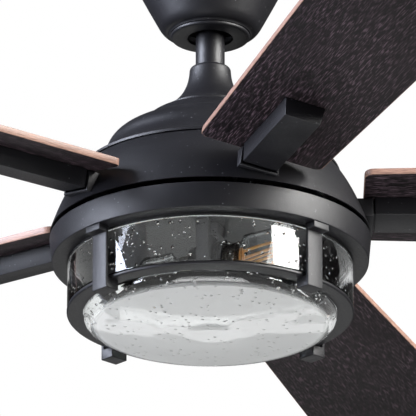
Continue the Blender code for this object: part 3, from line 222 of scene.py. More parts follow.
@dataclass(frozen=True)
class PowderCoat:
    """Black powder coat: fine orange peel with stray specks."""

    tint: Colour = (0.0058, 0.0056, 0.0076)
    sheen: float = 0.46
    grain: float = 900.0

    def make(self, name: str) -> bpy.types.Material:
        """Make the material."""
        nodes = Nodes(name)
        where = nodes.place()
        peel = nodes.noise(where, self.grain, detail=3.0, roughness=0.65)
        cloud = nodes.noise(where, 24.0, detail=4.0)
        tone = nodes.tones(cloud, self.tint, 0.78, 1.25)
        speck = nodes.add("TexVoronoi", scale=210.0, feature="F1")
        nodes.link(where, speck.inputs["Vector"])
        dust = nodes.ramp(speck.outputs["Distance"], [(0.08, (1, 1, 1)), (0.15, (0, 0, 0))])
        rare = nodes.ramp(nodes.noise(where, 60.0), [(0.52, (0, 0, 0)), (0.6, (1, 1, 1))])
        spots = nodes.mix(rare, (0, 0, 0), dust)
        nodes.feed("Base Color", nodes.mix(spots, tone, (0.12, 0.12, 0.13)))
        nodes.feed("Roughness", nodes.spread(peel, self.sheen - 0.07, self.sheen + 0.09))
        nodes.feed("Specular IOR Level", 0.5)
        nodes.bump(peel, 0.0003, 0.6)
        return nodes.material


@dataclass(frozen=True)
class BladeFace:
    """Very dark brushed walnut with short pale dashes along the blade."""

    turn: float
    base: Colour = (0.0048, 0.0030, 0.0039)
    dash: Colour = (0.155, 0.107, 0.132)

    def make(self, name: str) -> bpy.types.Material:
        """Make the material for a blade that points along self.turn."""
        nodes = Nodes(name)
        fine = nodes.noise(nodes.place(-self.turn, (0.36, 5.4, 0.0)), 190.0, 2.0, 0.6)
        broad = nodes.noise(nodes.place(-self.turn, (1.0, 9.0, 0.0)), 14.0, 5.0, 0.6)
        patch = nodes.noise(nodes.place(-self.turn, (1.0, 2.0, 1.0)), 9.0, 3.0)
        ground = nodes.tones(broad, self.base, 0.6, 1.8)
        dashes = nodes.ramp(fine, [(0.53, (0, 0, 0)), (0.63, (1, 1, 1))])
        strength = nodes.spread(patch, 0.35, 0.95)
        share = nodes.mix(strength, (0, 0, 0), dashes)
        nodes.feed("Base Color", nodes.mix(share, ground, self.dash))
        nodes.feed("Roughness", nodes.spread(fine, 0.5, 0.7))
        nodes.feed("Specular IOR Level", 0.22)
        nodes.bump(fine, 0.0004, 0.7)
        return nodes.material


@dataclass(frozen=True)
class BladeEdge:
    """Red-brown edge band of a blade."""

    turn: float
    base: Colour = (0.36, 0.215, 0.165)

    def make(self, name: str) -> bpy.types.Material:
        """Make the material for a blade that points along self.turn."""
        nodes = Nodes(name)
        grain = nodes.noise(nodes.place(-self.turn, (1.0, 14.0, 14.0)), 90.0, 4.0, 0.6)
        nodes.feed("Base Color", nodes.tones(grain, self.base, 0.55, 1.35))
        nodes.feed("Roughness", nodes.spread(grain, 0.38, 0.55))
        nodes.bump(grain, 0.0002, 0.4)
        return nodes.material


@dataclass(frozen=True)
class Metal:
    """Plated or plain metal with faint brushing and stains."""

    tint: Colour
    rough: float = 0.35
    grain: float = 300.0

    def make(self, name: str) -> bpy.types.Material:
        """Make the material."""
        nodes = Nodes(name)
        brushed = nodes.noise(nodes.place(0.0, (1.0, 1.0, 14.0)), self.grain, 3.0)
        stain = nodes.noise(nodes.place(), 40.0, 4.0, 0.6)
        nodes.feed("Base Color", nodes.tones(stain, self.tint, 0.7))
        nodes.feed("Metallic", 1.0)
        nodes.feed("Roughness", nodes.spread(brushed, self.rough - 0.08, self.rough + 0.12))
        nodes.bump(brushed, 0.0001, 0.3)
        return nodes.material


@dataclass(frozen=True)
class Winding:
    """Enamelled copper wire, laid in turns around the stator."""

    tint: Colour = (0.52, 0.2, 0.07)

    def make(self, name: str) -> bpy.types.Material:
        """Make the material."""
        nodes = Nodes(name)
        wires = nodes.add("TexWave", wave_type="RINGS", rings_direction="Z", scale=160.0,
                          distortion=1.5)
        nodes.link(nodes.place(), wires.inputs["Vector"])
        nodes.feed("Base Color", nodes.tones(wires.outputs["Fac"], self.tint, 0.25, start=0.1))
        nodes.feed("Metallic", 0.9)
        nodes.feed("Roughness", 0.35)
        nodes.bump(wires.outputs["Fac"], 0.0005, 0.8)
        return nodes.material


@dataclass(frozen=True)
class Moulded:
    """Moulded plastic or rubber with a fine matt grain."""

    tint: Colour
    rough: float = 0.5

    def make(self, name: str) -> bpy.types.Material:
        """Make the material."""
        nodes = Nodes(name)
        grain = nodes.noise(nodes.place(), 1400.0, 2.0)
        cloud = nodes.noise(nodes.place(), 50.0, 3.0)
        nodes.feed("Base Color", nodes.tones(cloud, self.tint, 0.85))
        nodes.feed("Roughness", nodes.spread(grain, self.rough - 0.05, self.rough + 0.08))
        nodes.bump(grain, 0.0001, 0.4)
        return nodes.material


@dataclass(frozen=True)
class SeededGlass:
    """Clear glass with seeds, the small bubbles of hand-worked glass, and where asked a milky film
    that is a painted reflection.
    """

    tint: Colour = (0.97, 0.985, 0.985)
    seeds: float = 150.0
    seed_size: float = 0.21
    share: float = 0.43
    wave: float = 0.0006
    painted_reflection: float = 0.0

    def make(self, name: str) -> bpy.types.Material:
        """Make the material."""
        nodes = Nodes(name)
        where = nodes.place()
        cell = nodes.add("TexVoronoi", scale=self.seeds, feature="F1")
        nodes.link(where, cell.inputs["Vector"])
        dome = nodes.ramp(cell.outputs["Distance"], [
            (0.0, (1, 1, 1)), (0.6 * self.seed_size, (0.75, 0.75, 0.75)),
            (self.seed_size, (0, 0, 0))])
        rare = nodes.ramp(nodes.noise(where, 46.0, 1.0), [
            (self.share, (0, 0, 0)), (self.share + 0.04, (1, 1, 1))])
        seeds = nodes.mix(rare, (0, 0, 0), dome)
        ripple = nodes.noise(where, 26.0, 1.0)
        wavy = nodes.bump(ripple, self.wave, 0.6)
        nodes.bump(seeds, 0.0016, 1.0, below=wavy)
        nodes.feed("Base Color", self.tint)
        nodes.feed("Roughness", 0.0)
        nodes.feed("IOR", 1.5)
        nodes.feed("Transmission Weight", 1.0)
        # painted reflection: a milky film where the bowl shows a white reflection
        if self.painted_reflection:
            self.paint_reflection(nodes, where)
        return nodes.material

    def paint_reflection(self, nodes: Nodes, where: bpy.types.NodeSocket) -> None:
        """Give the glass a milky film that is thicker towards +Y and clear at the rim: a painted
        reflection, standing in for the white reflection in the bowl.

        Args:
            nodes: the material's nodes.
            where: the coordinates to read.
        """
        split = nodes.add("SeparateXYZ")
        nodes.link(where, split.inputs["Vector"])
        drift = nodes.add("Math", operation="MULTIPLY_ADD")
        nodes.link(nodes.noise(where, 14.0, 2.5), drift.inputs[0])
        drift.inputs[1].default_value = 0.19
        nodes.link(split.outputs["Y"], drift.inputs[2])
        # less transmission towards +Y, a wavy painted reflection that the low light turns white
        film = nodes.spread(drift.outputs["Value"], 1.0 - 0.46 * self.painted_reflection, 1.0 - self.painted_reflection,
                            start=0.064, end=0.072)
        ring = nodes.add("VectorMath", operation="LENGTH")
        flat = nodes.add("CombineXYZ")
        nodes.link(split.outputs["X"], flat.inputs["X"])
        nodes.link(split.outputs["Y"], flat.inputs["Y"])
        nodes.link(flat.outputs["Vector"], ring.inputs[0])
        rim = nodes.spread(ring.outputs["Value"], 0.0, 1.0, start=0.1, end=0.108)
        clear = nodes.add("Math", operation="MAXIMUM")
        nodes.link(film, clear.inputs[0])
        nodes.link(rim, clear.inputs[1])
        nodes.feed("Transmission Weight", clear.outputs["Value"])
        nodes.feed("Roughness", 0.03)


@dataclass(frozen=True)
class Phosphor:
    """Amber coating of a filament, with a faint painted glow that stands in for light catching it
    while the lamp is off.
    """

    tint: Colour = (0.80, 0.42, 0.15)
    painted_glow: float = 0.2

    def make(self, name: str) -> bpy.types.Material:
        """Make the material."""
        nodes = Nodes(name)
        grain = nodes.noise(nodes.place(), 700.0, 2.0)
        colour = nodes.tones(grain, self.tint, 0.7)
        nodes.feed("Base Color", colour)
        # painted glow: the filament emits a little light though the lamp is off
        nodes.link(colour, nodes.shader.inputs["Emission Color"])
        nodes.feed("Emission Strength", self.painted_glow)
        nodes.feed("Roughness", 0.4)
        return nodes.material


# ---------------------------------------------------------------- modelling


ROUND = 144
SMALL_ROUND = 40


@dataclass(frozen=True)
class Extent:
    """The box of a CAD node."""

    low: Vector
    high: Vector

    @classmethod
    def of(cls, node: str) -> "Extent":
        """The box of the named node."""
        low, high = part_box(node)
        return cls(Vector(low), Vector(high))

    @property
    def top(self) -> float:
        """The highest point."""
        return self.high.z

    @property
    def bottom(self) -> float:
        """The lowest point."""
        return self.low.z

    @property
    def radius(self) -> float:
        """Half the width, which is a turned piece's radius."""
        return (self.high.x - self.low.x) / 2


def select_only(thing: bpy.types.Object) -> None:
    """Select one object alone and make it the active one."""
    bpy.ops.object.select_all(action="DESELECT")
    thing.select_set(True)
    bpy.context.view_layer.objects.active = thing


def take_new(name: str) -> bpy.types.Object:
    """Name the object that was just added, and its mesh."""
    thing = bpy.context.object
    thing.name = name
    thing.data.name = name
    return thing


def begin_edit(thing: bpy.types.Object) -> None:
    """Select one object alone and enter edit mode on it."""
    select_only(thing)
    bpy.ops.object.mode_set(mode="EDIT")


def end_edit() -> None:
    """Leave edit mode."""
    bpy.ops.object.mode_set(mode="OBJECT")


def apply_place(thing: bpy.types.Object) -> None:
    """Put an object's place into its mesh."""
    select_only(thing)
    bpy.ops.object.transform_apply(location=True, rotation=True, scale=True)


def select_faces(thing: bpy.types.Object, normal: Vector, beyond: float = -10.0) -> None:
    """Select, in edit mode, the faces that look one way.

    Args:
        thing: the object in edit mode.
        normal: the way that the faces look.
        beyond: how far along the normal a face's centre must at least lie.
    """
    bpy.ops.mesh.select_mode(type="FACE")
    bpy.ops.mesh.select_all(action="DESELECT")
    bpy.ops.object.mode_set(mode="OBJECT")
    for polygon in thing.data.polygons:
        facing = polygon.normal.dot(normal) > 0.9
        polygon.select = facing and polygon.center.dot(normal) > beyond
    bpy.ops.object.mode_set(mode="EDIT")


def soften(profile: Profile, radius: float, closed: bool = False, steps: int = 3) -> Profile:
    """Round the sharp corners of a profile.

    Args:
        profile: points of (radius, height).
        radius: how far from a corner its rounding starts, at most.
        closed: whether the last point joins the first.
        steps: spans in each rounding.

    Returns:
        The profile with its corners rounded.
    """
    points = [Vector(point) for point in profile]
    count = len(points)
    softened: list[Vector] = []
    for index, point in enumerate(points):
        if not closed and index in (0, count - 1):
            softened.append(point)
            continue
        before = points[index - 1] - point
        after = points[(index + 1) % count] - point
        straight = before.length < 1e-6 or after.length < 1e-6
        if straight or before.angle(after) > radians(160):
            softened.append(point)
            continue
        reach = min(radius, 0.45 * before.length, 0.45 * after.length)
        start = point + before.normalized() * reach
        end = point + after.normalized() * reach
        for step in range(steps + 1):
            t = step / steps
            softened.append((1 - t) ** 2 * start + 2 * t * (1 - t) * point + t ** 2 * end)
    return [(point.x, point.y) for point in softened]


def swell(start: tuple, end: tuple, across: float, down: float, count: int = 16) -> Profile:
    """Points of a curve between two (radius, height) points.

    Args:
        start: the first point.
        end: the last point.
        across: the control point's share of the step in radius.
        down: the control point's share of the step in height.
        count: spans of the curve.

    Returns:
        The curve's points, with both ends.
    """
    control = (start[0] + across * (end[0] - start[0]), start[1] + down * (end[1] - start[1]))
    points = []
    for index in range(count + 1):
        t = index / count
        weights = ((1 - t) ** 2, 2 * t * (1 - t), t ** 2)
        points.append(tuple(weights[0] * a + weights[1] * b + weights[2] * c
                            for a, b, c in zip(start, control, end)))
    return points


def turned(name: str, profile: Profile, closed: bool = True, steps: int = ROUND,
           wall: float = 0.0) -> bpy.types.Object:
    """Raise a turned piece ring by ring from a circle.

    Args:
        name: the piece's name.
        profile: points of (radius, height); a radius of 0 is a pole, and a piece with
            a pole at each end starts with a flat disc.
        closed: whether the last ring joins the first.
        steps: points around each ring.
        wall: thickness given to an open skin, inwards.

    Returns:
        The piece, at the origin.
    """
    solid = profile[0][0] == 0 and profile[-1][0] == 0
    points = list(profile)
    if solid:
        points = points[1:]
    elif profile[0][0] == 0:
        points.reverse()
    if closed:
        points.append(points[0])
    radius, height = points[0]
    bpy.ops.object.select_all(action="DESELECT")
    bpy.ops.mesh.primitive_circle_add(vertices=steps, radius=radius, location=(0, 0, height),
                                      fill_type="TRIFAN" if solid else "NOTHING")
    thing = take_new(name)
    bpy.ops.object.mode_set(mode="EDIT")
    bpy.ops.mesh.select_mode(type="VERT")
    bpy.ops.mesh.select_all(action="SELECT")
    for (last_radius, last_height), (radius, height) in zip(points, points[1:]):
        bpy.ops.mesh.extrude_region_move(
            TRANSFORM_OT_translate={"value": (0, 0, height - last_height)})
        if radius == 0:
            bpy.ops.mesh.merge(type="CENTER")
        else:
            share = radius / last_radius
            bpy.ops.transform.resize(value=(share, share, 1), center_override=(0, 0, height))
    bpy.ops.mesh.select_all(action="SELECT")
    bpy.ops.mesh.remove_doubles(threshold=0.000002)
    bpy.ops.mesh.normals_make_consistent(inside=False)
    end_edit()
    apply_place(thing)
    if wall:
        skin = thing.modifiers.new("wall", "SOLIDIFY")
        skin.thickness = wall
        skin.offset = -1.0
        skin.use_even_offset = True
        bpy.ops.object.modifier_apply(modifier="wall")
    smooth(thing)
    return thing


def smooth(thing: bpy.types.Object, angle: float = 32.0) -> None:
    """Shade a piece smooth, with edges sharper than the angle kept."""
    select_only(thing)
    bpy.ops.object.shade_smooth_by_angle(angle=radians(angle))


def block(name: str, low: tuple, high: tuple) -> bpy.types.Object:
    """Add a box between two corners, its place in its mesh."""
    centre = (Vector(low) + Vector(high)) / 2
    size = Vector(high) - Vector(low)
    bpy.ops.object.select_all(action="DESELECT")
    bpy.ops.mesh.primitive_cube_add(size=1.0, location=centre)
    thing = take_new(name)
    thing.scale = size
    apply_place(thing)
    return thing


def slab(name: str, outline: Profile, low: float, high: float) -> bpy.types.Object:
    """Raise a flat outline in the XZ plane along Y.

    Args:
        name: the piece's name.
        outline: points of (x, z), in order.
        low: where the piece starts along Y.
        high: where it ends.

    Returns:
        The piece, at the origin.
    """
    bpy.ops.object.select_all(action="DESELECT")
    bpy.ops.mesh.primitive_circle_add(vertices=len(outline), radius=1.0, fill_type="NGON")
    thing = take_new(name)
    for vertex, (x, z) in zip(thing.data.vertices, outline):
        vertex.co = (x, low, z)
    begin_edit(thing)
    bpy.ops.mesh.select_all(action="SELECT")
    bpy.ops.mesh.extrude_region_move(TRANSFORM_OT_translate={"value": (0, high - low, 0)})
    bpy.ops.mesh.select_all(action="SELECT")
    bpy.ops.mesh.normals_make_consistent(inside=False)
    end_edit()
    return thing


def round_edges(thing: bpy.types.Object, width: float, segments: int = 3,
                angle: float = 30.0) -> None:
    """Bevel a piece's sharp edges and apply it."""
    bevel = thing.modifiers.new("edges", "BEVEL")
    bevel.width = width
    bevel.segments = segments
    bevel.limit_method = "ANGLE"
    bevel.angle_limit = radians(angle)
    bevel.use_clamp_overlap = True
    bpy.context.view_layer.objects.active = thing
    bpy.ops.object.modifier_apply(modifier="edges")
    smooth(thing)


def turn_to(thing: bpy.types.Object, matrix: Matrix) -> None:
    """Carry a piece by a matrix and keep the place in its mesh."""
    thing.matrix_world = matrix
    apply_place(thing)


def carve(thing: bpy.types.Object, tool: bpy.types.Object, operation: str = "DIFFERENCE") -> None:
    """Cut a tool from a piece, or join it on, and remove the tool."""
    step = thing.modifiers.new("carve", "BOOLEAN")
    step.operation = operation
    step.solver = "EXACT"
    step.object = tool
    bpy.context.view_layer.objects.active = thing
    bpy.ops.object.modifier_apply(modifier="carve")
    bpy.data.objects.remove(tool)


def cut_cross(screw: bpy.types.Object, half_width: float, half_length: float, low: float,
              high: float) -> None:
    """Cut a cross slot into the head of a screw that points along +Z."""
    for turn in (0, pi / 2):
        slot = block("slot", (-half_width, -half_length, low), (half_width, half_length, high))
        turn_to(slot, Matrix.Rotation(turn, 4, "Z"))
        carve(screw, slot)


def dress(thing: bpy.types.Object, finish: object) -> None:
    """Give a piece its own copy of a finish."""
    thing.data.materials.clear()
    thing.data.materials.append(finish.make(thing.name))


def install(thing: bpy.types.Object, body: Body, slot: Slot, finish: object | None,
            *nodes: str) -> bpy.types.Object:
    """Dress a finished piece and hand it to the frame.

    Args:
        thing: the piece.
        body: the body that it rides on.
        slot: the record's slot of its finish; not used.
        finish: its finish, or None where it is dressed already.
        nodes: CAD nodes that it stands for.

    Returns:
        The piece.
    """
    if finish is not None:
        dress(thing, finish)
    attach(thing, body.value)
    if nodes:
        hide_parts(*nodes)
    LOG.info("%s: %d faces on %s", thing.name, len(thing.data.polygons), body.value)
    return thing


BLACK = PowderCoat()
ZINC = Metal((0.46, 0.46, 0.47))
BLADE_COUNT = 5
BLADE_PITCH = radians(10.4)

# the necks of the arms, in a blade's own frame
NECK_START = 112 * MM
NECK_HALF = 14.6 * MM
NECK_TOP = 4.6 * MM
NECK_BOTTOM = 15.6 * MM


def blade_frame(index: int, height: float) -> Matrix:
    """The place of a blade: X along it, Z square to its underside."""
    turn = 2 * pi * index / BLADE_COUNT
    return (Matrix.Translation((0, 0, height)) @ Matrix.Rotation(turn, 4, "Z")
            @ Matrix.Rotation(-BLADE_PITCH, 4, "X"))


# ---------------------------------------------------------------- sub-assemblies


@dataclass
class Canopy:
    """Bell-shaped canopy with its trim ring and two screws."""

    collar: float = 15 * MM
    trim_collar_wall: float = 2.5 * MM
    waist_radius: float = 48.3 * MM
    waist_height: float = 10.8 * MM
    shoulder_radius: float = 40.5 * MM
    shoulder_height: float = 2.2 * MM
    lip_radius: float = 37.2 * MM
    bore: float = 31 * MM
    wall: float = 1.6 * MM
    trim_bore: float = 20.8 * MM
    trim_edge: float = 3 * MM

    def build(self) -> None:
        """Build the shell, the trim ring and the screws."""
        extent = Extent.of("canopy")
        waist = (self.waist_radius, extent.bottom + self.waist_height)
        shoulder = (self.shoulder_radius, extent.bottom + self.shoulder_height)
        lip = (self.lip_radius, extent.bottom)
        profile = [(extent.radius, extent.top)]
        profile += swell((extent.radius, extent.top - self.collar), waist, 0.28, 0.3)
        profile += swell(waist, shoulder, 0.45, 0.8, count=8)[1:]
        profile += swell(shoulder, lip, 0.75, 0.1, count=5)[1:]
        profile += [(self.bore, extent.bottom)]
        shell = turned("canopy_bell", profile, closed=False, wall=self.wall)
        install(shell, Body.CEILING, Slot.COAT, BLACK, "canopy")
        self.build_trim()
        for side in ("left", "right"):
            self.build_screw(side)

    def build_trim(self) -> None:
        """Build the ring that closes the canopy around the rod."""
        extent = Extent.of("canopy_trim_ring")
        seat = Extent.of("canopy").bottom - SEAT_GAP
        radius = extent.radius
        collar = self.bore - SEAT_GAP
        profile = [(collar - self.trim_collar_wall, extent.top), (collar, extent.top),
                   (collar, seat), (radius, seat)]
        profile += swell((radius, extent.bottom + 0.8 * self.trim_edge),
                         (radius - self.trim_edge, extent.bottom), 0.05, 0.9, count=8)
        profile += [(self.trim_bore, extent.bottom), (self.trim_bore, seat),
                    (collar - self.trim_collar_wall, seat)]
        trim = turned("canopy_trim", soften(profile, 0.6 * MM, closed=True))
        install(trim, Body.CEILING, Slot.COAT, BLACK, "canopy_trim_ring")

    def build_screw(self, side: str) -> None:
        """Build one screw with a domed, cross-cut head."""
        extent = Extent.of(f"canopy_screw_{side}")
        sign = 1 if side == "right" else -1
        length = extent.high.x - extent.low.x
        head = (extent.high.z - extent.low.z) / 2
        shank = 2 * MM
        head_height = 2.4 * MM
        profile = [(0.0, length), *swell((0.6 * MM, length), (head, length - head_height), 1.0, 0.1,
                                         count=8),
                   (shank, length - head_height), (shank, 0.8 * MM), (0.5 * shank, 0.0), (0.0, 0.0)]
        screw = turned(f"canopy_thumb_screw_{side}", profile, closed=False, steps=SMALL_ROUND)
        cut_cross(screw, 0.45 * MM, 2.4 * MM, length - 1.1 * MM, length + MM)
        start = extent.low.x if sign > 0 else extent.high.x
        middle = (extent.high.z + extent.low.z) / 2
        turn_to(screw, Matrix.Translation((start, 0, middle))
                @ Matrix.Rotation(sign * pi / 2, 4, "Y"))
        smooth(screw)
        install(screw, Body.CEILING, Slot.STEEL, Metal((0.05, 0.05, 0.055), 0.4),
                f"canopy_screw_{side}")


@dataclass
class Hanger:
    """Downrod and the cover over its yoke."""

    rod_wall: float = 2.3 * MM
    neck_radius: float = 19 * MM
    crown: float = 4 * MM
    lip: float = 2 * MM
    rim: float = 2.2 * MM
    wall: float = 1.6 * MM

    def build(self) -> None:
        """Build the rod and the yoke's cover."""
        rod = Extent.of("downrod")
        radius = rod.radius
        section = [(radius - self.rod_wall, rod.top), (radius, rod.top), (radius, rod.bottom),
                   (radius - self.rod_wall, rod.bottom)]
        tube = turned("downrod_tube", soften(section, 0.5 * MM, closed=True), steps=96)
        install(tube, Body.HANGING, Slot.COAT, PowderCoat(sheen=0.42), "downrod")

        cover = Extent.of("yoke_cover")
        neck = (self.neck_radius, cover.top - self.crown)
        profile = [(radius + RUN_GAP, cover.top)]
        profile += swell((radius + self.lip, cover.top), neck, 1.0, 0.1, count=8)
        profile += swell(neck, (cover.radius, cover.bottom + self.rim), 0.06, 0.66, count=24)[1:]
        profile += [(cover.radius, cover.bottom)]
        shell = turned("yoke_bell", profile, closed=False, wall=self.wall)
        install(shell, Body.HANGING, Slot.COAT, BLACK, "yoke_cover")


@dataclass
class Housing:
    """Fixed stepped dome over the motor."""

    tier_radius: float = 65.5 * MM
    tier_drop: float = 14.7 * MM
    dome_radius: float = 95 * MM
    dome_drop: float = 36.2 * MM
    rim: float = 2.2 * MM
    bore: float = 19.05 * MM
    wall: float = 1.6 * MM

    def build(self) -> None:
        """Build the dome in its two steps."""
        extent = Extent.of("top_housing")
        top = extent.top
        tier = (self.tier_radius, top - self.tier_drop)
        dome = (self.dome_radius, top - self.dome_drop)
        profile = [(self.bore, top)]
        profile += swell((Extent.of("yoke_cover").radius, top), tier, 0.65, 0.15)
        profile += swell(tier, dome, 0.86, 0.3)[1:]
        profile += swell(dome, (extent.radius, extent.bottom + self.rim), 0.15, 0.57)[1:]
        profile += [(extent.radius, extent.bottom)]
        shell = turned("motor_dome", profile, closed=False, wall=self.wall)
        install(shell, Body.HANGING, Slot.COAT, BLACK, "top_housing")


@dataclass
class RotatingCover:
    """Flared rotating cover with a lined sleeve for each arm."""

    top_radius: float = 118.7 * MM
    wall: float = 1.9 * MM
    web_drop: float = 3.6 * MM
    web_thickness: float = 1.8 * MM
    web_bore: float = 92.6 * MM
    gap: float = 1.6 * MM
    sleeve_wall: float = 2.2 * MM
    sleeve_reach: float = 147.6 * MM
    sleeve_start: float = 131.8 * MM
    sleeve_end_area: float = 200 * MM * MM
    window_margin: float = 6 * MM

    def build(self, hub_height: float) -> None:
        """Build the skirt and its sleeves.

        Args:
            hub_height: height of the blades' hub.
        """
        extent = Extent.of("rotating_cover")
        radius = Extent.of("light_pan").radius - SEAT_GAP
        outer = swell((self.top_radius, extent.top), (radius, extent.bottom), 0.53, 0.327, count=30)
        inner = [(r - self.wall, z) for r, z in reversed(outer)]
        web_top = extent.top - self.web_drop
        below = [point for point in inner if point[1] < web_top - self.web_thickness - MM]
        inside = inner[-1][0] + MM
        profile = soften(outer, 0.5 * MM) + below
        profile += [(inside, web_top - self.web_thickness),
                    (self.web_bore, web_top - self.web_thickness), (self.web_bore, web_top),
                    (inside, web_top), inner[-1]]
        skirt = turned("rotating_skirt", profile)
        for index in range(BLADE_COUNT):
            window = block("window", (NECK_START, -NECK_HALF - self.gap, -NECK_BOTTOM - self.gap),
                           (self.sleeve_reach + self.window_margin, NECK_HALF + self.gap,
                            -NECK_TOP + self.gap))
            turn_to(window, blade_frame(index, hub_height))
            carve(skirt, window)
        smooth(skirt)
        install(skirt, Body.ROTOR, Slot.COAT, BLACK, "rotating_cover")
        for index in range(BLADE_COUNT):
            self.build_sleeve(index, hub_height)

    def build_sleeve(self, index: int, hub_height: float) -> None:
        """Build the square sleeve around one arm's neck.

        Args:
            index: which arm, from 0.
            hub_height: height of the blades' hub.
        """
        half = NECK_HALF + self.gap + self.sleeve_wall
        sleeve = block(f"arm_collar_{index + 1}",
                       (self.sleeve_start, -half, -NECK_BOTTOM - self.gap - self.sleeve_wall),
                       (self.sleeve_reach, half, -NECK_TOP + self.gap + self.sleeve_wall))
        begin_edit(sleeve)
        for sign in (1, -1):
            select_faces(sleeve, Vector((sign, 0, 0)))
            bpy.ops.mesh.inset(thickness=self.sleeve_wall)
        bpy.ops.mesh.select_all(action="DESELECT")
        end_edit()
        for polygon in sleeve.data.polygons:
            polygon.select = (abs(polygon.normal.x) > 0.9
                              and abs(polygon.center.y) < 0.1 * MM
                              and polygon.area > self.sleeve_end_area)
        bpy.ops.object.mode_set(mode="EDIT")
        bpy.ops.mesh.bridge_edge_loops()
        end_edit()
        round_edges(sleeve, 0.6 * MM)
        turn_to(sleeve, blade_frame(index, hub_height))
        install(sleeve, Body.ROTOR, Slot.COAT, BLACK)


